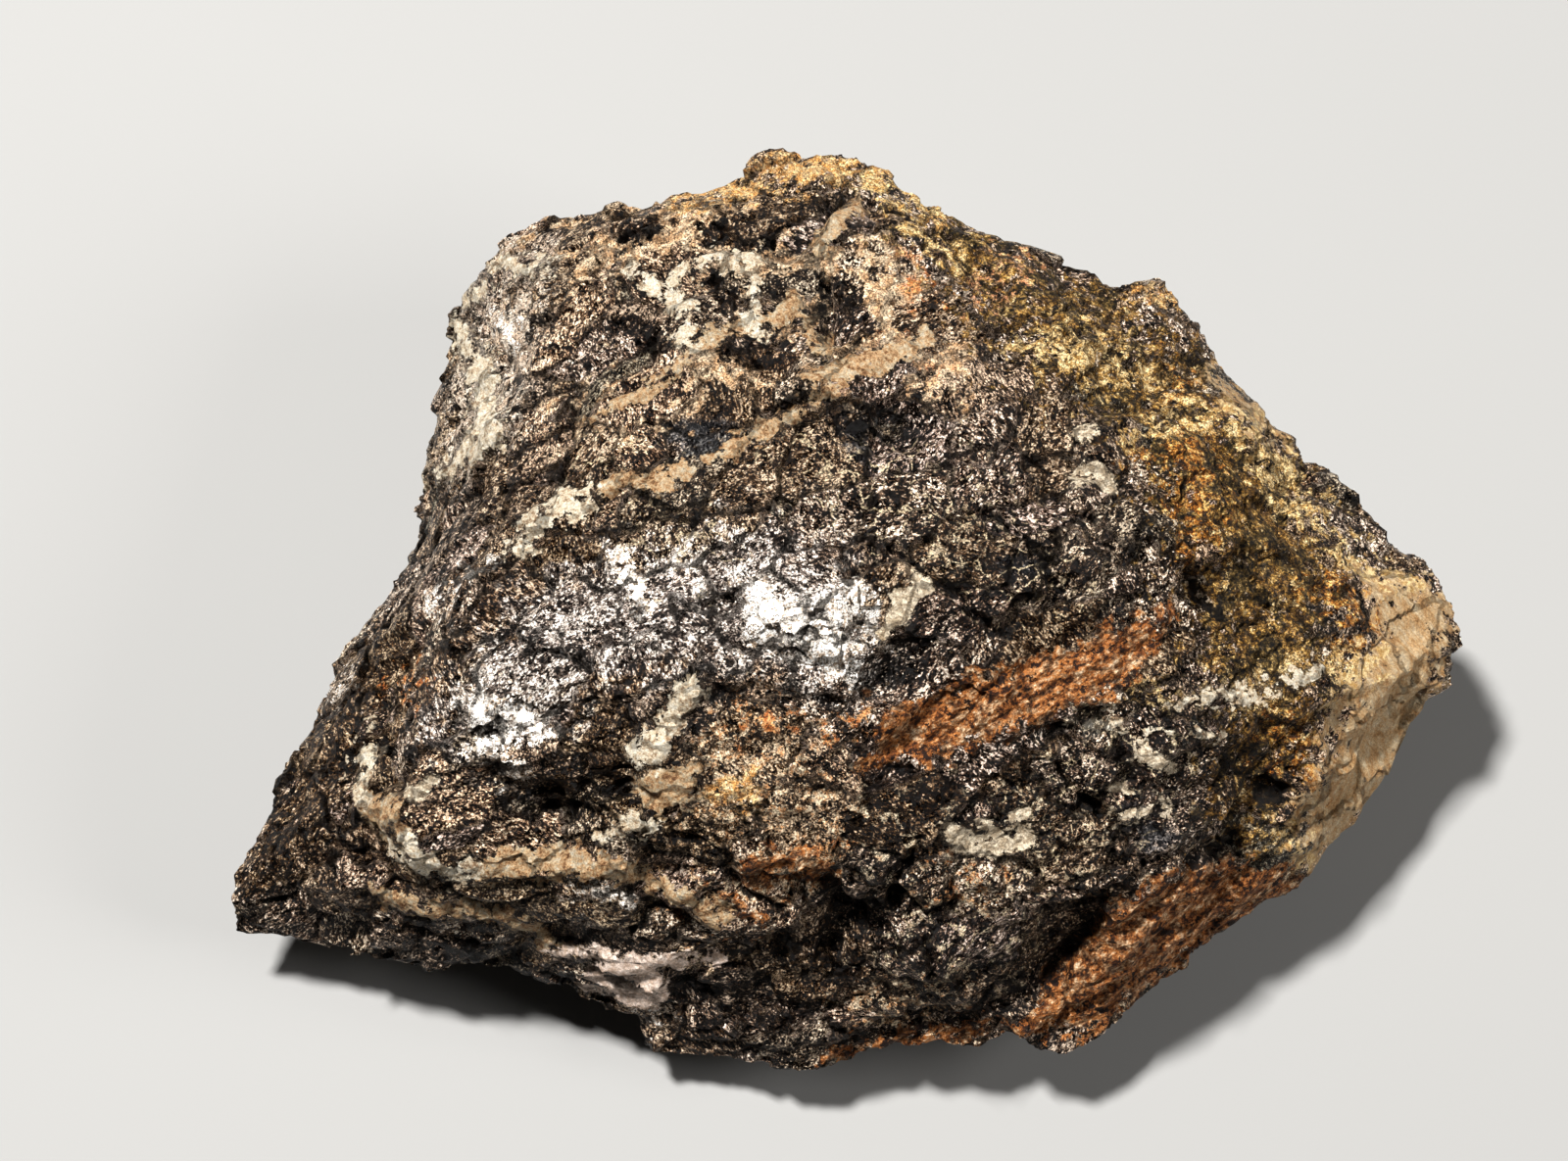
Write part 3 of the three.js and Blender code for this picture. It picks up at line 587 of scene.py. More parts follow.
def reliefHeights(points, normals):
    # how far each point of the solid's surface moves out, in millimetres
    place = points * 1000
    warp = stone["warp"]
    warped = place + smoothNoises(place, warp["size"], range(85, 88)) * warp["reach"]
    owner, away, gap = clasts(points)

    zone = zoneDistances(points, normals)
    vein = np.maximum(inside(zone["cream"]), inside(zone["peach"]))
    rust = inside(zone["rust"], 1)
    clay = inside(zone["clay"])
    gleam = inside(zone["gleam"], 1.2)
    soft = np.maximum.reduce([
        vein, inside(zone["rust"]), inside(zone["host"], 1.5), inside(zone["quartz"]),
    ])
    pitted = np.clip(inside(zone["olive"], 3) + stone["pits"]["everywhere"], 0, 1)
    matrix = np.maximum.reduce([soft, gleam, inside(zone["web"], 2), clay])

    rise = clastRise(place, warped, owner, away, soft)
    rise += ledgeRise(place) * (1 - soft)
    rise += gleam * (gleamRise(place, normals, warped) - rise)
    rise += vein * veinRise(warped)
    rise += stone["quartzRise"] * inside(zone["quartz"], 1)
    rise -= pitDepth(place) * pitted * (1 - vein) * (1 - gleam)
    rise += rust * toeRise(place)
    rise -= stone["cracks"]["depth"] * np.exp(-gap / stone["cracks"]["width"]) * (1 - matrix)
    rise -= stone["hollowDepth"] * inside(zone["shadedHollow"], 1.2)
    rise -= stone["holeDepth"] * inside(zone["holes"], 0.5)
    return rise * (1 - stone["clay"]["smoother"] * clay) - stone["clay"]["depth"] * clay


def makeStone():
    # a copy of the solid's mesh, merged, remeshed finely and broken into crystals
    form = bmesh.new()
    form.from_mesh(solid.data)
    bmesh.ops.remove_doubles(form, verts=form.verts, dist=1e-6)
    mesh = bpy.data.meshes.new("sphalerite")
    form.to_mesh(mesh)
    form.free()
    piece = bpy.data.objects.new("sphalerite", mesh)
    bpy.context.scene.collection.objects.link(piece)

    remesh = piece.modifiers.new("fine", "REMESH")
    remesh.mode = "VOXEL"
    remesh.voxel_size = stone["voxel"]
    bakeModifiers(piece)
    print("stone remeshed,", len(piece.data.vertices), "corners")

    mesh = piece.data
    points = cornersOf(mesh)
    normals = normalsOf(mesh)
    setCorners(mesh, points + normals * reliefHeights(points, normals)[:, None] / 1000)
    print("stone broken into crystals")

    smaller = piece.modifiers.new("lighter", "DECIMATE")
    smaller.ratio = min(1, stone["mostTriangles"] / trianglesOf(mesh))
    bakeModifiers(piece)
    setCorners(piece.data, np.clip(cornersOf(piece.data), solidBox[0], solidBox[1]))
    print("stone finished,", trianglesOf(piece.data), "triangles")
    return piece


def bakeModifiers(piece):
    depsgraph = bpy.context.evaluated_depsgraph_get()
    made = bpy.data.meshes.new_from_object(piece.evaluated_get(depsgraph))
    piece.modifiers.clear()
    piece.data = made


def cornersOf(mesh):
    flat = np.empty(len(mesh.vertices) * 3, np.float32)
    mesh.vertices.foreach_get("co", flat)
    return flat.reshape(-1, 3).astype(float)


def normalsOf(mesh):
    flat = np.empty(len(mesh.vertices) * 3, np.float32)
    mesh.vertex_normals.foreach_get("vector", flat)
    return flat.reshape(-1, 3).astype(float)


def setCorners(mesh, points):
    mesh.vertices.foreach_set("co", points.astype(np.float32).ravel())
    mesh.update()


def trianglesOf(mesh):
    mesh.calc_loop_triangles()
    return len(mesh.loop_triangles)


def paintZones(piece):
    # distances to the zones and the clasts' own values, kept on the mesh for the material's patterns
    points = cornersOf(piece.data)
    values = zoneDistances(points, normalsOf(piece.data))
    owner, _, values["gap"] = clasts(points)
    values["tint"] = scattered(owner, 63)
    values["luck"] = scattered(owner, 64)
    for name, value in values.items():
        attribute = piece.data.attributes.new(name, "FLOAT", "POINT")
        attribute.data.foreach_set("value", value.astype(np.float32))
    attribute = piece.data.attributes.new("way", "FLOAT_VECTOR", "POINT")
    attribute.data.foreach_set("vector", cleavageDirections(owner).astype(np.float32).ravel())


# Short ways to add nodes

def addNode(tree, kind, inputs=None, **settings):
    made = tree.nodes.new("ShaderNode" + kind)
    for name, value in settings.items():
        setattr(made, name, value)
    for socket, value in (inputs or {}).items():
        if isinstance(value, bpy.types.NodeSocket):
            tree.links.new(value, made.inputs[socket])
        else:
            made.inputs[socket].default_value = value
    return made


def calculate(tree, operation, *values):
    return addNode(tree, "Math", dict(enumerate(values)), operation=operation).outputs[0]


def times(tree, first, second):
    return calculate(tree, "MULTIPLY", first, second)


def vectorMath(tree, operation, *values, output=0):
    return addNode(tree, "VectorMath", dict(enumerate(values)), operation=operation).outputs[output]


def scaleVector(tree, vector, amount):
    return addNode(tree, "VectorMath", {0: vector, "Scale": amount}, operation="SCALE").outputs[0]


def mixColor(tree, factor, first, second, blend="MIX"):
    inputs = {0: factor, 6: color4(first), 7: color4(second)}
    return addNode(tree, "Mix", inputs, data_type="RGBA", blend_type=blend).outputs[2]


def mixValue(tree, factor, first, second):
    return addNode(tree, "Mix", {0: factor, 2: first, 3: second}, data_type="FLOAT").outputs[0]


def color4(color):
    return color if isinstance(color, bpy.types.NodeSocket) else (*color, 1)


def noiseNode(tree, place, scale, detail, roughness):
    inputs = {"Vector": place, "Scale": scale, "Detail": detail, "Roughness": roughness}
    return addNode(tree, "TexNoise", inputs).outputs["Fac"]


def cellLuck(tree, cells, channel):
    return addNode(tree, "SeparateColor", {0: cells.outputs["Color"]}).outputs[channel]


def ramp(tree, factor, stops):
    made = addNode(tree, "ValToRGB", {0: factor})
    elements = made.color_ramp.elements
    while len(elements) < len(stops):
        elements.new(0.5)
    for element, (position, color) in zip(elements, stops):
        element.position = position
        element.color = (*color, 1)
    return made.outputs[0]


def window(tree, value, none, whole):
    # 0 where the value is none, 1 where it is whole, and smooth between them
    inputs = {"Value": value, "From Min": none, "From Max": whole}
    return addNode(tree, "MapRange", inputs, interpolation_type="SMOOTHSTEP").outputs[0]


def attributeNode(tree, name, output="Fac"):
    return addNode(tree, "Attribute", attribute_name=name).outputs[output]


def vary(tree, tone, luck, amount):
    return calculate(tree, "MULTIPLY_ADD", calculate(tree, "SUBTRACT", luck, 0.5), amount, tone)


def drawnOut(tree, place, direction, share):
    # places pressed together along a direction, so that a pattern on them is longer that way
    along = vectorMath(tree, "DOT_PRODUCT", place, direction, output=1)
    pressed = scaleVector(tree, direction, times(tree, along, share))
    return vectorMath(tree, "SUBTRACT", place, pressed)


ore = {
    "ior": 1.5,
    "specular": 0.25,
    # colours, from the darkest of a pattern's tones to the lightest, or a pair that a pattern mixes
    "flecks": [
        (0.40, (0.0020, 0.0009, 0.0004)), (0.47, (0.016, 0.008, 0.004)), (0.515, (0.085, 0.052, 0.032)),
        (0.56, (0.32, 0.235, 0.170)), (0.61, (0.92, 0.80, 0.68)),
    ],
    "tints": [
        (0.0, (0.20, 0.21, 0.17)), (0.22, (0.95, 0.86, 0.76)), (0.42, (0.66, 0.59, 0.59)),
        (0.6, (0.98, 0.79, 0.62)), (0.78, (0.30, 0.26, 0.22)), (1.0, (0.90, 0.82, 0.76)),
    ],
    "tintShare": 0.92,
    "golden": [
        (0.41, (0.002, 0.001, 0.0004)), (0.48, (0.022, 0.009, 0.003)), (0.55, (0.115, 0.060, 0.022)),
        (0.63, (0.44, 0.335, 0.22)),
    ],
    "silver": [
        (0.39, (0.003, 0.0015, 0.001)), (0.465, (0.056, 0.038, 0.029)), (0.54, (0.32, 0.26, 0.22)),
        (0.62, (0.90, 0.83, 0.75)),
    ],
    # the gleam colour is a painted highlight: near-white glare and glints over brown
    "gleam": ((0.92, 0.85, 0.76), (0.40, 0.31, 0.23)),
    "blue": ((0.005, 0.005, 0.006), (0.070, 0.075, 0.082)),
    "threads": (0.62, 0.50, 0.33),
    "web": ((0.60, 0.46, 0.31), (0.42, 0.26, 0.14)),
    "speckle": ((0.58, 0.50, 0.41), (0.43, 0.32, 0.23)),
    "specks": ((0.50, 0.42, 0.30), (0.30, 0.22, 0.14)),
    "cream": [
        (0.36, (0.20, 0.125, 0.070)), (0.44, (0.42, 0.335, 0.23)), (0.53, (0.51, 0.445, 0.34)),
        (0.66, (0.55, 0.51, 0.43)),
    ],
    "peach": [
        (0.36, (0.11, 0.050, 0.020)), (0.44, (0.33, 0.20, 0.100)), (0.53, (0.355, 0.26, 0.155)),
        (0.66, (0.375, 0.33, 0.25)),
    ],
    "amber": ((0.52, 0.37, 0.19), (0.43, 0.215, 0.065)),
    "tan": ((0.62, 0.50, 0.35), (0.40, 0.21, 0.095)),
    "orange": ((0.46, 0.24, 0.095), (0.30, 0.095, 0.024)),
    "blush": ((0.52, 0.31, 0.17), (0.42, 0.18, 0.085)),
    "rust": [
        (0.38, (0.010, 0.003, 0.0008)), (0.45, (0.11, 0.033, 0.007)), (0.51, (0.27, 0.097, 0.023)),
        (0.58, (0.38, 0.165, 0.052)), (0.67, (0.54, 0.36, 0.22)),
    ],
    "rustTan": [
        (0.40, (0.022, 0.010, 0.004)), (0.48, (0.17, 0.075, 0.030)), (0.55, (0.34, 0.20, 0.10)),
        (0.63, (0.60, 0.46, 0.31)),
    ],
    "rustPits": (0.016, 0.006, 0.003),
    "ochre": [
        (0.38, (0.012, 0.004, 0.0006)), (0.46, (0.15, 0.048, 0.005)), (0.53, (0.36, 0.145, 0.020)),
        (0.62, (0.62, 0.43, 0.17)),
    ],
    "olive": [
        (0.38, (0.003, 0.0013, 0.0002)), (0.46, (0.040, 0.018, 0.002)), (0.52, (0.13, 0.062, 0.009)),
        (0.58, (0.28, 0.158, 0.036)), (0.67, (0.52, 0.375, 0.165)),
    ],
    "moss": [
        (0.40, (0.002, 0.0012, 0.0004)), (0.49, (0.030, 0.018, 0.004)), (0.57, (0.105, 0.064, 0.017)),
        (0.67, (0.38, 0.265, 0.11)),
    ],
    "pale": ((0.62, 0.47, 0.25), (0.34, 0.205, 0.070)),
    "host": [
        (0.31, (0.19, 0.095, 0.032)), (0.41, (0.31, 0.18, 0.078)), (0.52, (0.36, 0.248, 0.134)),
        (0.65, (0.43, 0.345, 0.23)),
    ],
    "clay": ((0.53, 0.45, 0.335), (0.29, 0.225, 0.15)),
    "quartz": ((0.74, 0.61, 0.52), (0.46, 0.34, 0.26)),
    # painted shade: near black for the rim beside the raised veins and clay flakes, and for the dark
    # seams, hollows and holes
    "veinShadeRim": (0.006, 0.003, 0.0015),
    "crackShade": (0.002, 0.001, 0.0005),

    # ways of drawing a pattern out: a direction, and how strongly
    "drawnOut": {"hostWise": ((0.62, -0.72, -0.3), 0.6), "rustWise": ((0.80, 0.58, 0.15), 0.45)},
    "streaks": 0.5,
    # what each noise lies on, its lumps to the millimetre, its detail and its roughness
    "noises": {
        "coarse": ("place", 0.5, 6, 0.65), "fine": ("place", 2.2, 4, 0.6),
        "patch": ("place", 0.9, 5, 0.6), "cloud": ("place", 0.3, 5, 0.62),
        "fleck": ("streaky", 4.4, 4, 0.8), "crust": ("place", 1.2, 6, 0.8),
        "hostTone": ("hostWise", 1.0, 5, 0.72), "lumps": ("place", 0.55, 6, 0.72),
        "mottle": ("place", 1.4, 4, 0.7), "layers": ("rustWise", 1.4, 6, 0.78),
        "veinTone": ("place", 1.8, 6, 0.8), "grit": ("place", 4.5, 3, 0.75),
    },
    # what each set of cells lies on, its cells to the millimetre, and the channel of a cell's luck
    "cells": {
        "flake": ("streaky", 2.1, "Green"), "splinter": ("streaky", 5.2, "Green"),
        "crumb": ("place", 2.2, "Red"), "grain": ("place", 0.75, "Red"),
    },
    # how far each tone goes up and down with other patterns
    "varied": {
        "tone": {"fleck": 0.6, "cloud": 0.42, "flake": 0.16, "splinter": 0.23},
        "crust": {"crumb": 0.09},
        "layers": {"crumb": 0.08},
        "veinTone": {"grain": 0.12, "crumb": 0.08},
    },
    # the dark zones' darker tone is partly darker ore and partly painted shade
    "darker": {"tone": -0.06, "crust": -0.05},  # in the dark zones
    # each zone's edge: how far it sways, how soft it is and how far it crumbles, in millimetres, and
    # the pattern that it crumbles by
    "edges": {
        "dark": (30, 3, 1, "fine"), "fragments": (6, 0.15, 0.8, "flake"),
        "brown": (30, 2, 1, "fine"), "silver": (30, 2, 1, "fine"),
        "gleam": (12, 0.3, 2, "flake"), "blue": (12, 1, 1, "fine"),
        "threads": (30, 3, 1, "fine"), "web": (35, 2, 1, "fine"),
        "speckle": (25, 1, 1, "fine"), "olive": (45, 1.5, 8, "fine"),
        "host": (22, 0.8, 6, "fine"), "tan": (30, 1, 5, "fine"),
        "blush": (22, 1, 5, "fine"), "ochre": (25, 1, 10, "fine"),
        "amber": (14, 0.8, 5, "fine"), "pale": (16, 0.6, 6, "fine"),
        "orange": (22, 0.6, 5, "fine"), "specks": (30, 2, 1, "fine"),
        "rust": (12, 0.3, 3, "fine"), "clay": (5, 0.08, 0.6, "flake"),
        "peach": (8, 0.12, 0.45, "grain"), "cream": (10, 0.12, 0.6, "grain"),
        "quartz": (6, 0.3, 2, "fine"), "shadedHollow": (10, 0.6, 4, "fine"),
        "holes": (4, 0.2, 0.5, "flake"),
    },
    # where a pattern cuts a mask: where there is none of it, and where it is whole
    "cuts": {
        "spread": (0.40, 0.60), "mottle": (0.42, 0.58), "golden": (0.72, 0.76),
        "gleam": (0.50, 0.40), "blue": (0.45, 0.60), "threads": (0.045, 0.015),
        "threadPatches": (0.47, 0.53), "web": (1.3, 1.0), "speckle": (0.69, 0.715),
        "moss": (0.56, 0.44), "crystals": (0.59, 0.61), "rustTan": (0.50, 0.55),
        "rustPits": (0.445, 0.425), "veinShadeRim": (1.0, 0.3), "crackShade": (0.5, 0.1),
        "shadedHollow": (0.60, 0.54), "mirrors": (0.45, 0.9),
    },
    # the same on the lumps, for the finishes that lie in lumps
    "lumpCuts": {
        "tan": (0.50, 0.53), "blush": (0.50, 0.53), "ochre": (0.455, 0.50), "amber": (0.40, 0.44),
        "pale": (0.45, 0.48), "orange": (0.50, 0.53), "specks": (0.565, 0.585),
    },
    "bends": {"web": 5.0, "veinShadeRim": 9.0, "crackShade": 4.0},  # how far the coarse noise moves each
    "plates": {"scale": 0.36, "bendScale": 0.8, "bendDetail": 3, "bend": 1.2},  # the threads' pattern
    "speckleFine": 0.4,
    # the finishes from the lowest to the topmost, and how much each covers of those under it; the
    # gleam's light colour is a painted highlight, the vein rims, hollows and holes are painted shade,
    # and the cracks are dark seams with painted shade in them
    "cover": {
        "golden": 0.7, "brown": 0.9, "silver": 0.75, "gleam": 1, "blue": 0.85, "threads": 0.7,
        "web": 0.92, "speckle": 0.95, "olive": 0.94, "host": 1, "tan": 0.92, "blush": 0.85,
        "ochre": 0.9, "amber": 0.95, "pale": 0.95, "orange": 0.95, "specks": 0.9, "rust": 1,
        "veinShadeRim": 0.65, "clay": 1, "peach": 1, "cream": 1, "quartz": 1, "crackShade": 0.85,
        "shadedHollow": 0.85, "holes": 0.93,
    },
    "dull": ("host", "olive", "rust", "clay", "peach", "cream", "quartz", "tan", "pale", "amber",
             "web", "speckle", "specks"),
    # fine grit over every colour, and how much each finish calms it
    "grit": {"From Min": 0.40, "From Max": 0.62, "To Min": 0.15, "To Max": 1.85},
    "calm": {"host": 0.7, "quartz": 0.7, "rust": 0.525, "clay": 0.525, "peach": 0.63, "cream": 0.63},
    "lightest": (0.92, 0.90, 0.88),
    "mirrors": {"scale": 1.1, "tilt": 0.4, "metal": 0.55},
    "roughness": {"ore": 0.42, "mirrors": 0.22, "gleam": 0.34, "dull": 0.62},
    "bumps": {"fleck": 0.22, "flake": 0.12},
    "bumpHeight": 0.001,
    "gleamCalm": -0.75,
}


def makeRaggedEdge():
    # a zone's mask from its distance, with the edge broken up by two noises
    tree = bpy.data.node_groups.new("raggedEdge", "ShaderNodeTree")
    for name in ("Distance", "Coarse", "Fine", "Ragged", "Crisp", "Soft"):
        tree.interface.new_socket(name, in_out="INPUT", socket_type="NodeSocketFloat")
    tree.interface.new_socket("Mask", in_out="OUTPUT", socket_type="NodeSocketFloat")
    given = tree.nodes.new("NodeGroupInput").outputs
    distance = vary(tree, given["Distance"], given["Coarse"], given["Ragged"])
    distance = vary(tree, distance, given["Fine"], given["Crisp"])
    mask = window(tree, distance, given["Soft"], times(tree, given["Soft"], -1.0))
    tree.links.new(mask, tree.nodes.new("NodeGroupOutput").inputs["Mask"])
    return tree


def orePatterns(tree):
    # the patterns that the finishes share, in millimetres
    made = {"place": scaleVector(tree, addNode(tree, "TexCoord").outputs["Object"], 1000)}
    way = attributeNode(tree, "way", "Vector")  # each clast's own direction
    made["streaky"] = drawnOut(tree, made["place"], way, ore["streaks"])
    for name, (direction, share) in ore["drawnOut"].items():
        made[name] = drawnOut(tree, made["place"], direction, share)
    for name, (under, *settings) in ore["noises"].items():
        made[name] = noiseNode(tree, made[under], *settings)
    for name, (under, scale, channel) in ore["cells"].items():
        cells = addNode(tree, "TexVoronoi", {"Vector": made[under], "Scale": scale})
        made[name] = cellLuck(tree, cells, channel)
    made["tone"] = 0.5
    for name, others in ore["varied"].items():
        for other, amount in others.items():
            made[name] = vary(tree, made[name], made[other], amount)
    return made


def cut(tree, name, pattern):
    return window(tree, pattern, *ore["cuts"][name])


def zoneMasks(tree, patterns):
    raggedEdge = makeRaggedEdge()
    masks = {}
    for name, (ragged, soft, crisp, crumbles) in ore["edges"].items():
        inputs = {"Distance": attributeNode(tree, name), "Coarse": patterns["coarse"],
                  "Fine": patterns[crumbles], "Ragged": ragged, "Crisp": crisp, "Soft": soft}
        masks[name] = addNode(tree, "Group", inputs, node_tree=raggedEdge).outputs["Mask"]
    for name, (none, whole) in ore["lumpCuts"].items():
        lumpy = window(tree, patterns["lumps"], none, whole)
        masks[name] = times(tree, masks[name], lumpy)
    crystals = times(tree, masks["olive"], cut(tree, "crystals", patterns["lumps"]))
    masks["pale"] = calculate(tree, "MAXIMUM", masks["pale"], crystals)
    return masks


def darken(tree, patterns, masks):
    # darker tones in the dark fragments, and in the dark zone, which is partly painted shade
    darker = calculate(tree, "MAXIMUM", masks["dark"], masks["fragments"])
    for name, amount in ore["darker"].items():
        patterns[name] = calculate(tree, "MULTIPLY_ADD", darker, amount, patterns[name])


def cutThreads(tree, patterns, masks):
    # thin pale threads along the borders of bent plates
    plates = ore["plates"]
    inputs = {"Vector": patterns["place"], "Scale": plates["bendScale"], "Detail": plates["bendDetail"]}
    bend = scaleVector(tree, addNode(tree, "TexNoise", inputs).outputs["Color"], plates["bend"])
    bent = vectorMath(tree, "ADD", patterns["streaky"], bend)
    borders = addNode(tree, "TexVoronoi", {"Vector": bent, "Scale": plates["scale"]},
                      feature="DISTANCE_TO_EDGE")
    thread = times(tree, cut(tree, "threads", borders.outputs["Distance"]),
                   cut(tree, "threadPatches", patterns["patch"]))
    masks["threads"] = times(tree, masks["threads"], thread)


def cutSmallMasks(tree, patterns, masks):
    # finishes that follow the clasts, the noises or the veins inside their zones, with the painted
    # shade of the vein rims, cracks and hollows
    gap, coarse, bends = attributeNode(tree, "gap"), patterns["coarse"], ore["bends"]
    masks["golden"] = cut(tree, "golden", attributeNode(tree, "luck"))
    cutThreads(tree, patterns, masks)

    web = cut(tree, "web", vary(tree, gap, coarse, bends["web"]))
    web = calculate(tree, "SUBTRACT", times(tree, masks["web"], web), masks["fragments"])
    masks["web"] = calculate(tree, "MAXIMUM", web, 0.0)
    spots = calculate(tree, "MULTIPLY_ADD", patterns["fine"], ore["speckleFine"], coarse)
    masks["speckle"] = times(tree, masks["speckle"], cut(tree, "speckle", spots))

    # painted shade: a near-black rim round the raised veins and clay flakes
    rim = calculate(tree, "MINIMUM", attributeNode(tree, "peach"), attributeNode(tree, "cream"))
    rim = calculate(tree, "MINIMUM", rim, attributeNode(tree, "clay"))
    masks["veinShadeRim"] = cut(tree, "veinShadeRim", vary(tree, rim, coarse, bends["veinShadeRim"]))

    masks["dull"] = masks["host"]
    for name in ore["dull"][1:]:
        masks["dull"] = calculate(tree, "MAXIMUM", masks["dull"], masks[name])
    masks["bright"] = calculate(tree, "SUBTRACT", 1.0, masks["dull"])
    # dark seams along the clasts' borders, with painted shade where the mesh's cracks dip there, kept
    # off the dull finishes
    crackShade = cut(tree, "crackShade", vary(tree, gap, coarse, bends["crackShade"]))
    masks["crackShade"] = times(tree, crackShade, masks["bright"])
    # painted shade in the hollows, kept off the lightest tones
    masks["shadedHollow"] = times(tree, masks["shadedHollow"], cut(tree, "shadedHollow", patterns["tone"]))


def oreColors(tree, patterns):
    lumps, tone, crust = patterns["lumps"], patterns["tone"], patterns["crust"]
    spread = cut(tree, "spread", patterns["patch"])
    mottle = cut(tree, "mottle", patterns["mottle"])
    colors = {
        "golden": ramp(tree, tone, ore["golden"]),
        "silver": ramp(tree, tone, ore["silver"]),
        # painted highlight: near white on the gleam's cleavage faces
        "gleam": mixColor(tree, cut(tree, "gleam", tone), *ore["gleam"]),
        "blue": mixColor(tree, cut(tree, "blue", tone), *ore["blue"]),
        "threads": ore["threads"],
        "web": mixColor(tree, spread, *ore["web"]),
        "speckle": mixColor(tree, spread, *ore["speckle"]),
        "olive": mixColor(tree, cut(tree, "moss", patterns["cloud"]), ramp(tree, crust, ore["olive"]),
                          ramp(tree, crust, ore["moss"])),
        "host": ramp(tree, patterns["hostTone"], ore["host"]),
        "ochre": ramp(tree, crust, ore["ochre"]),
        "veinShadeRim": ore["veinShadeRim"],
        "peach": ramp(tree, patterns["veinTone"], ore["peach"]),
        "cream": ramp(tree, patterns["veinTone"], ore["cream"]),
    }
    colors["brown"] = colors["golden"]
    for name in ("tan", "blush", "amber", "pale", "orange", "specks", "clay", "quartz"):
        colors[name] = mixColor(tree, mottle, *ore[name])
    # near black in the cracks, hollows and holes: painted shade, with the cracks' dark seams
    for name in ("crackShade", "shadedHollow", "holes"):
        colors[name] = ore["crackShade"]
    rust = mixColor(tree, cut(tree, "rustTan", lumps), ramp(tree, patterns["layers"], ore["rust"]),
                    ramp(tree, patterns["layers"], ore["rustTan"]))
    colors["rust"] = mixColor(tree, cut(tree, "rustPits", lumps), rust, ore["rustPits"])
    return colors


def grittyColor(tree, base, patterns, masks):
    # light and dark grit, weaker where the finish is smooth
    grit = addNode(tree, "MapRange", {"Value": patterns["grit"], **ore["grit"]}).outputs[0]
    calm = 0.0
    for name, share in ore["calm"].items():
        calm = calculate(tree, "MAXIMUM", calm, times(tree, masks[name], share))
    grit = mixValue(tree, calm, grit, 1.0)
    return vectorMath(tree, "MINIMUM", scaleVector(tree, base, grit), ore["lightest"])


def addGlossAndBumps(tree, shader, patterns, masks):
    # mirror crystals, and relief finer than the mesh: their tilted faces and the flecks' own steps
    mirrors, roughness = ore["mirrors"], ore["roughness"]
    place, gleam = patterns["place"], masks["gleam"]
    crystal = addNode(tree, "TexVoronoi", {"Vector": place, "Scale": mirrors["scale"]})
    shiny = cut(tree, "mirrors", cellLuck(tree, crystal, "Red"))
    shiny = times(tree, shiny, masks["bright"])
    metal = times(tree, calculate(tree, "MAXIMUM", shiny, gleam), mirrors["metal"])
    rough = mixValue(tree, shiny, roughness["ore"], roughness["mirrors"])
    rough = mixValue(tree, gleam, rough, roughness["gleam"])
    rough = mixValue(tree, masks["dull"], rough, roughness["dull"])

    lean = vectorMath(tree, "SUBTRACT", crystal.outputs["Color"], (0.5, 0.5, 0.5))
    offset = vectorMath(tree, "SUBTRACT", place, crystal.outputs["Position"])
    tilt = vectorMath(tree, "DOT_PRODUCT", offset, lean, output=1)
    steepness = times(tree, masks["bright"], mirrors["tilt"])
    height = times(tree, tilt, steepness)
    for name, amount in ore["bumps"].items():
        height = vary(tree, height, patterns[name], amount)
    calm = calculate(tree, "MULTIPLY_ADD", gleam, ore["gleamCalm"], 1.0)
    height = times(tree, height, calm)
    bump = addNode(tree, "Bump", {"Height": height, "Distance": ore["bumpHeight"]})

    tree.links.new(rough, shader.inputs["Roughness"])
    tree.links.new(metal, shader.inputs["Metallic"])
    tree.links.new(bump.outputs[0], shader.inputs["Normal"])


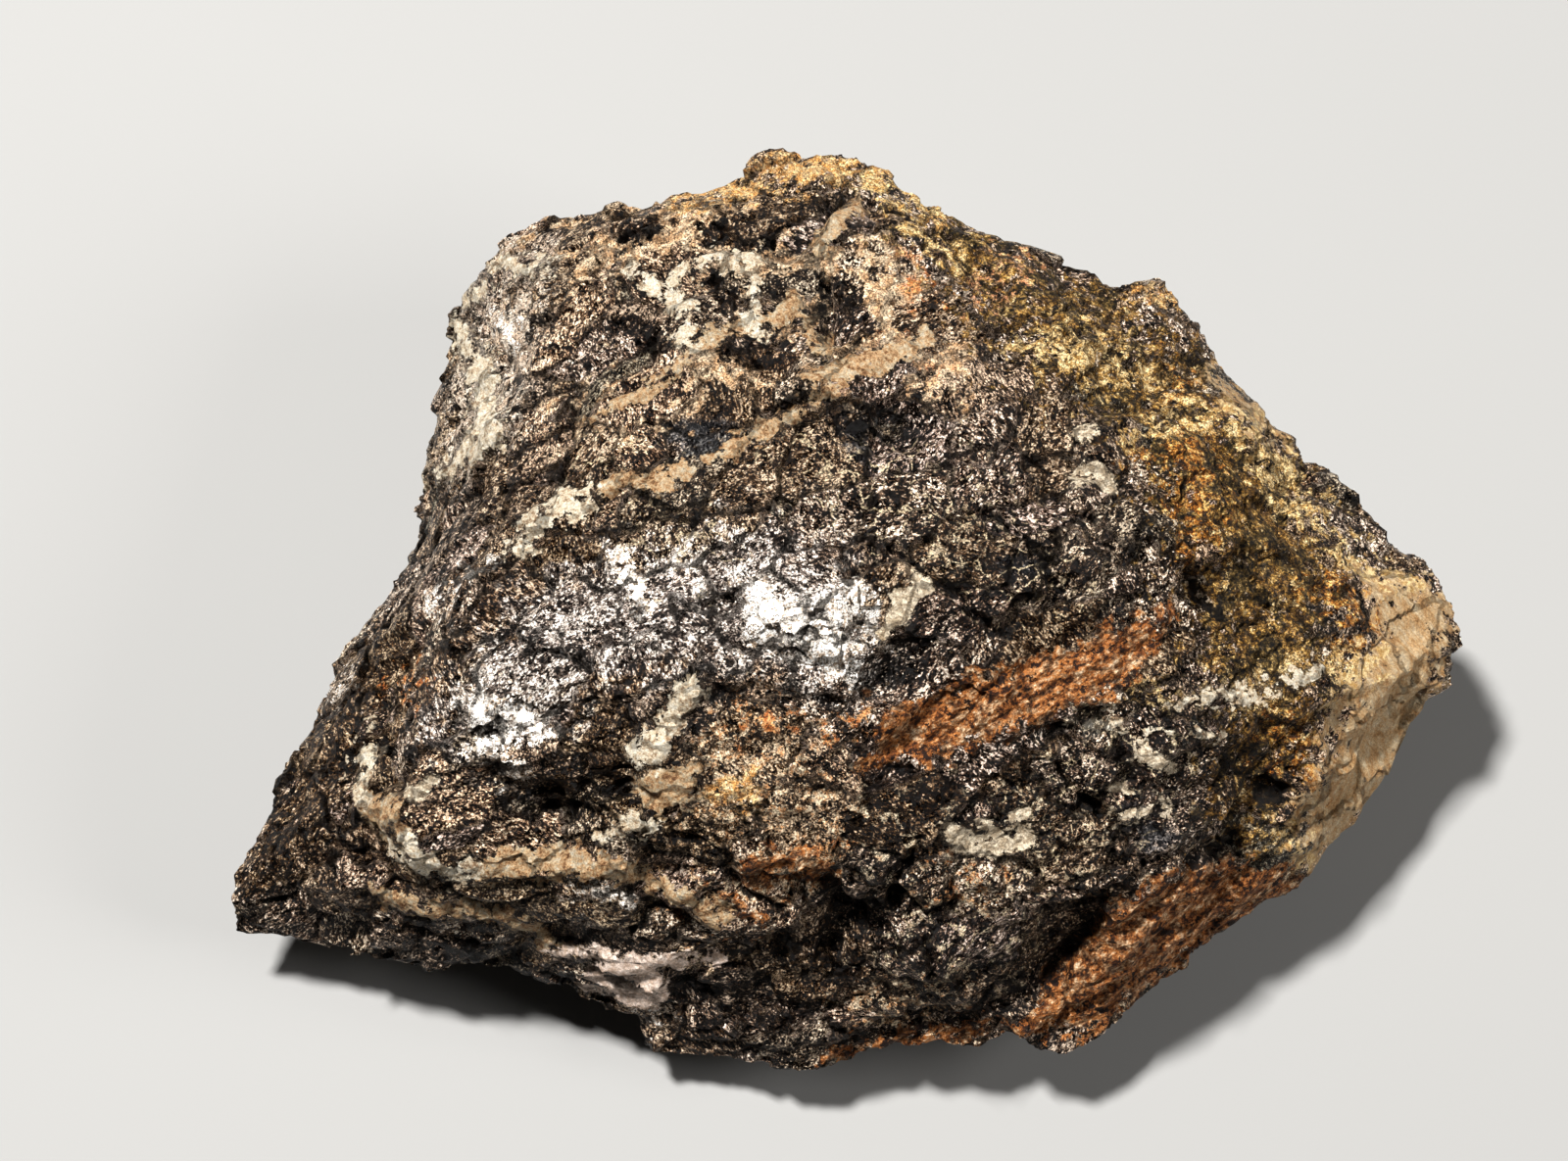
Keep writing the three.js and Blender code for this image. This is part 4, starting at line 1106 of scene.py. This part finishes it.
def makeOre():
    # one finish for the whole stone: dark cleavage flecks, and the other finishes laid over them, with
    # a painted highlight and painted shade among them
    material = bpy.data.materials.new("ore")
    material.use_nodes = True
    tree = material.node_tree
    shader = tree.nodes["Principled BSDF"]
    shader.inputs["IOR"].default_value = ore["ior"]
    shader.inputs["Specular IOR Level"].default_value = ore["specular"]

    patterns = orePatterns(tree)
    masks = zoneMasks(tree, patterns)
    darken(tree, patterns, masks)
    cutSmallMasks(tree, patterns, masks)
    colors = oreColors(tree, patterns)

    base = mixColor(tree, ore["tintShare"], ramp(tree, patterns["tone"], ore["flecks"]),
                    ramp(tree, attributeNode(tree, "tint"), ore["tints"]), "MULTIPLY")
    for name, share in ore["cover"].items():
        base = mixColor(tree, times(tree, masks[name], share), base, colors[name])
    tree.links.new(grittyColor(tree, base, patterns, masks), shader.inputs["Base Color"])
    addGlossAndBumps(tree, shader, patterns, masks)
    return material


specimen = makeStone()
paintZones(specimen)
specimen.data.materials.clear()
specimen.data.materials.append(makeOre())
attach(specimen, "root")
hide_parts("sphalerite_specimen")
print("stone painted")

studio = {
    "floorSize": 4.0,
    "floorColor": (0.27, 0.265, 0.255),
    "floorRoughness": 0.8,
    "sky": 0.04,
    "key": {"place": (-0.42, 0.28, 1.24), "power": 38, "size": 0.15},
    "fill": {"place": (1.0, -0.15, 0.70), "power": 8.5, "size": 0.5},
}


def addFloor():
    form = bmesh.new()
    bmesh.ops.create_grid(form, x_segments=1, y_segments=1, size=studio["floorSize"] / 2)
    mesh = bpy.data.meshes.new("floor")
    form.to_mesh(mesh)
    form.free()
    material = bpy.data.materials.new("floorPaint")
    material.use_nodes = True
    shader = material.node_tree.nodes["Principled BSDF"]
    shader.inputs["Base Color"].default_value = (*studio["floorColor"], 1)
    shader.inputs["Roughness"].default_value = studio["floorRoughness"]
    mesh.materials.append(material)
    floor = bpy.data.objects.new("floor", mesh)
    bpy.context.scene.collection.objects.link(floor)


def addLight(name):
    values = studio[name]
    lamp = bpy.data.lights.new(name, "AREA")
    lamp.energy = values["power"]
    lamp.size = values["size"]
    light = bpy.data.objects.new(name, lamp)
    light.location = values["place"]
    light.rotation_euler = (-Vector(values["place"])).to_track_quat("-Z", "Y").to_euler()
    bpy.context.scene.collection.objects.link(light)


def addSky():
    world = bpy.data.worlds.new("studio")
    world.use_nodes = True
    background = world.node_tree.nodes["Background"]
    background.inputs["Color"].default_value = (1, 1, 1, 1)
    background.inputs["Strength"].default_value = studio["sky"]
    bpy.context.scene.world = world


addFloor()
addLight("key")
addLight("fill")
addSky()
bpy.context.scene.view_settings.view_transform = "Standard"
bpy.context.scene.view_settings.look = "Medium High Contrast"
print("studio lit")
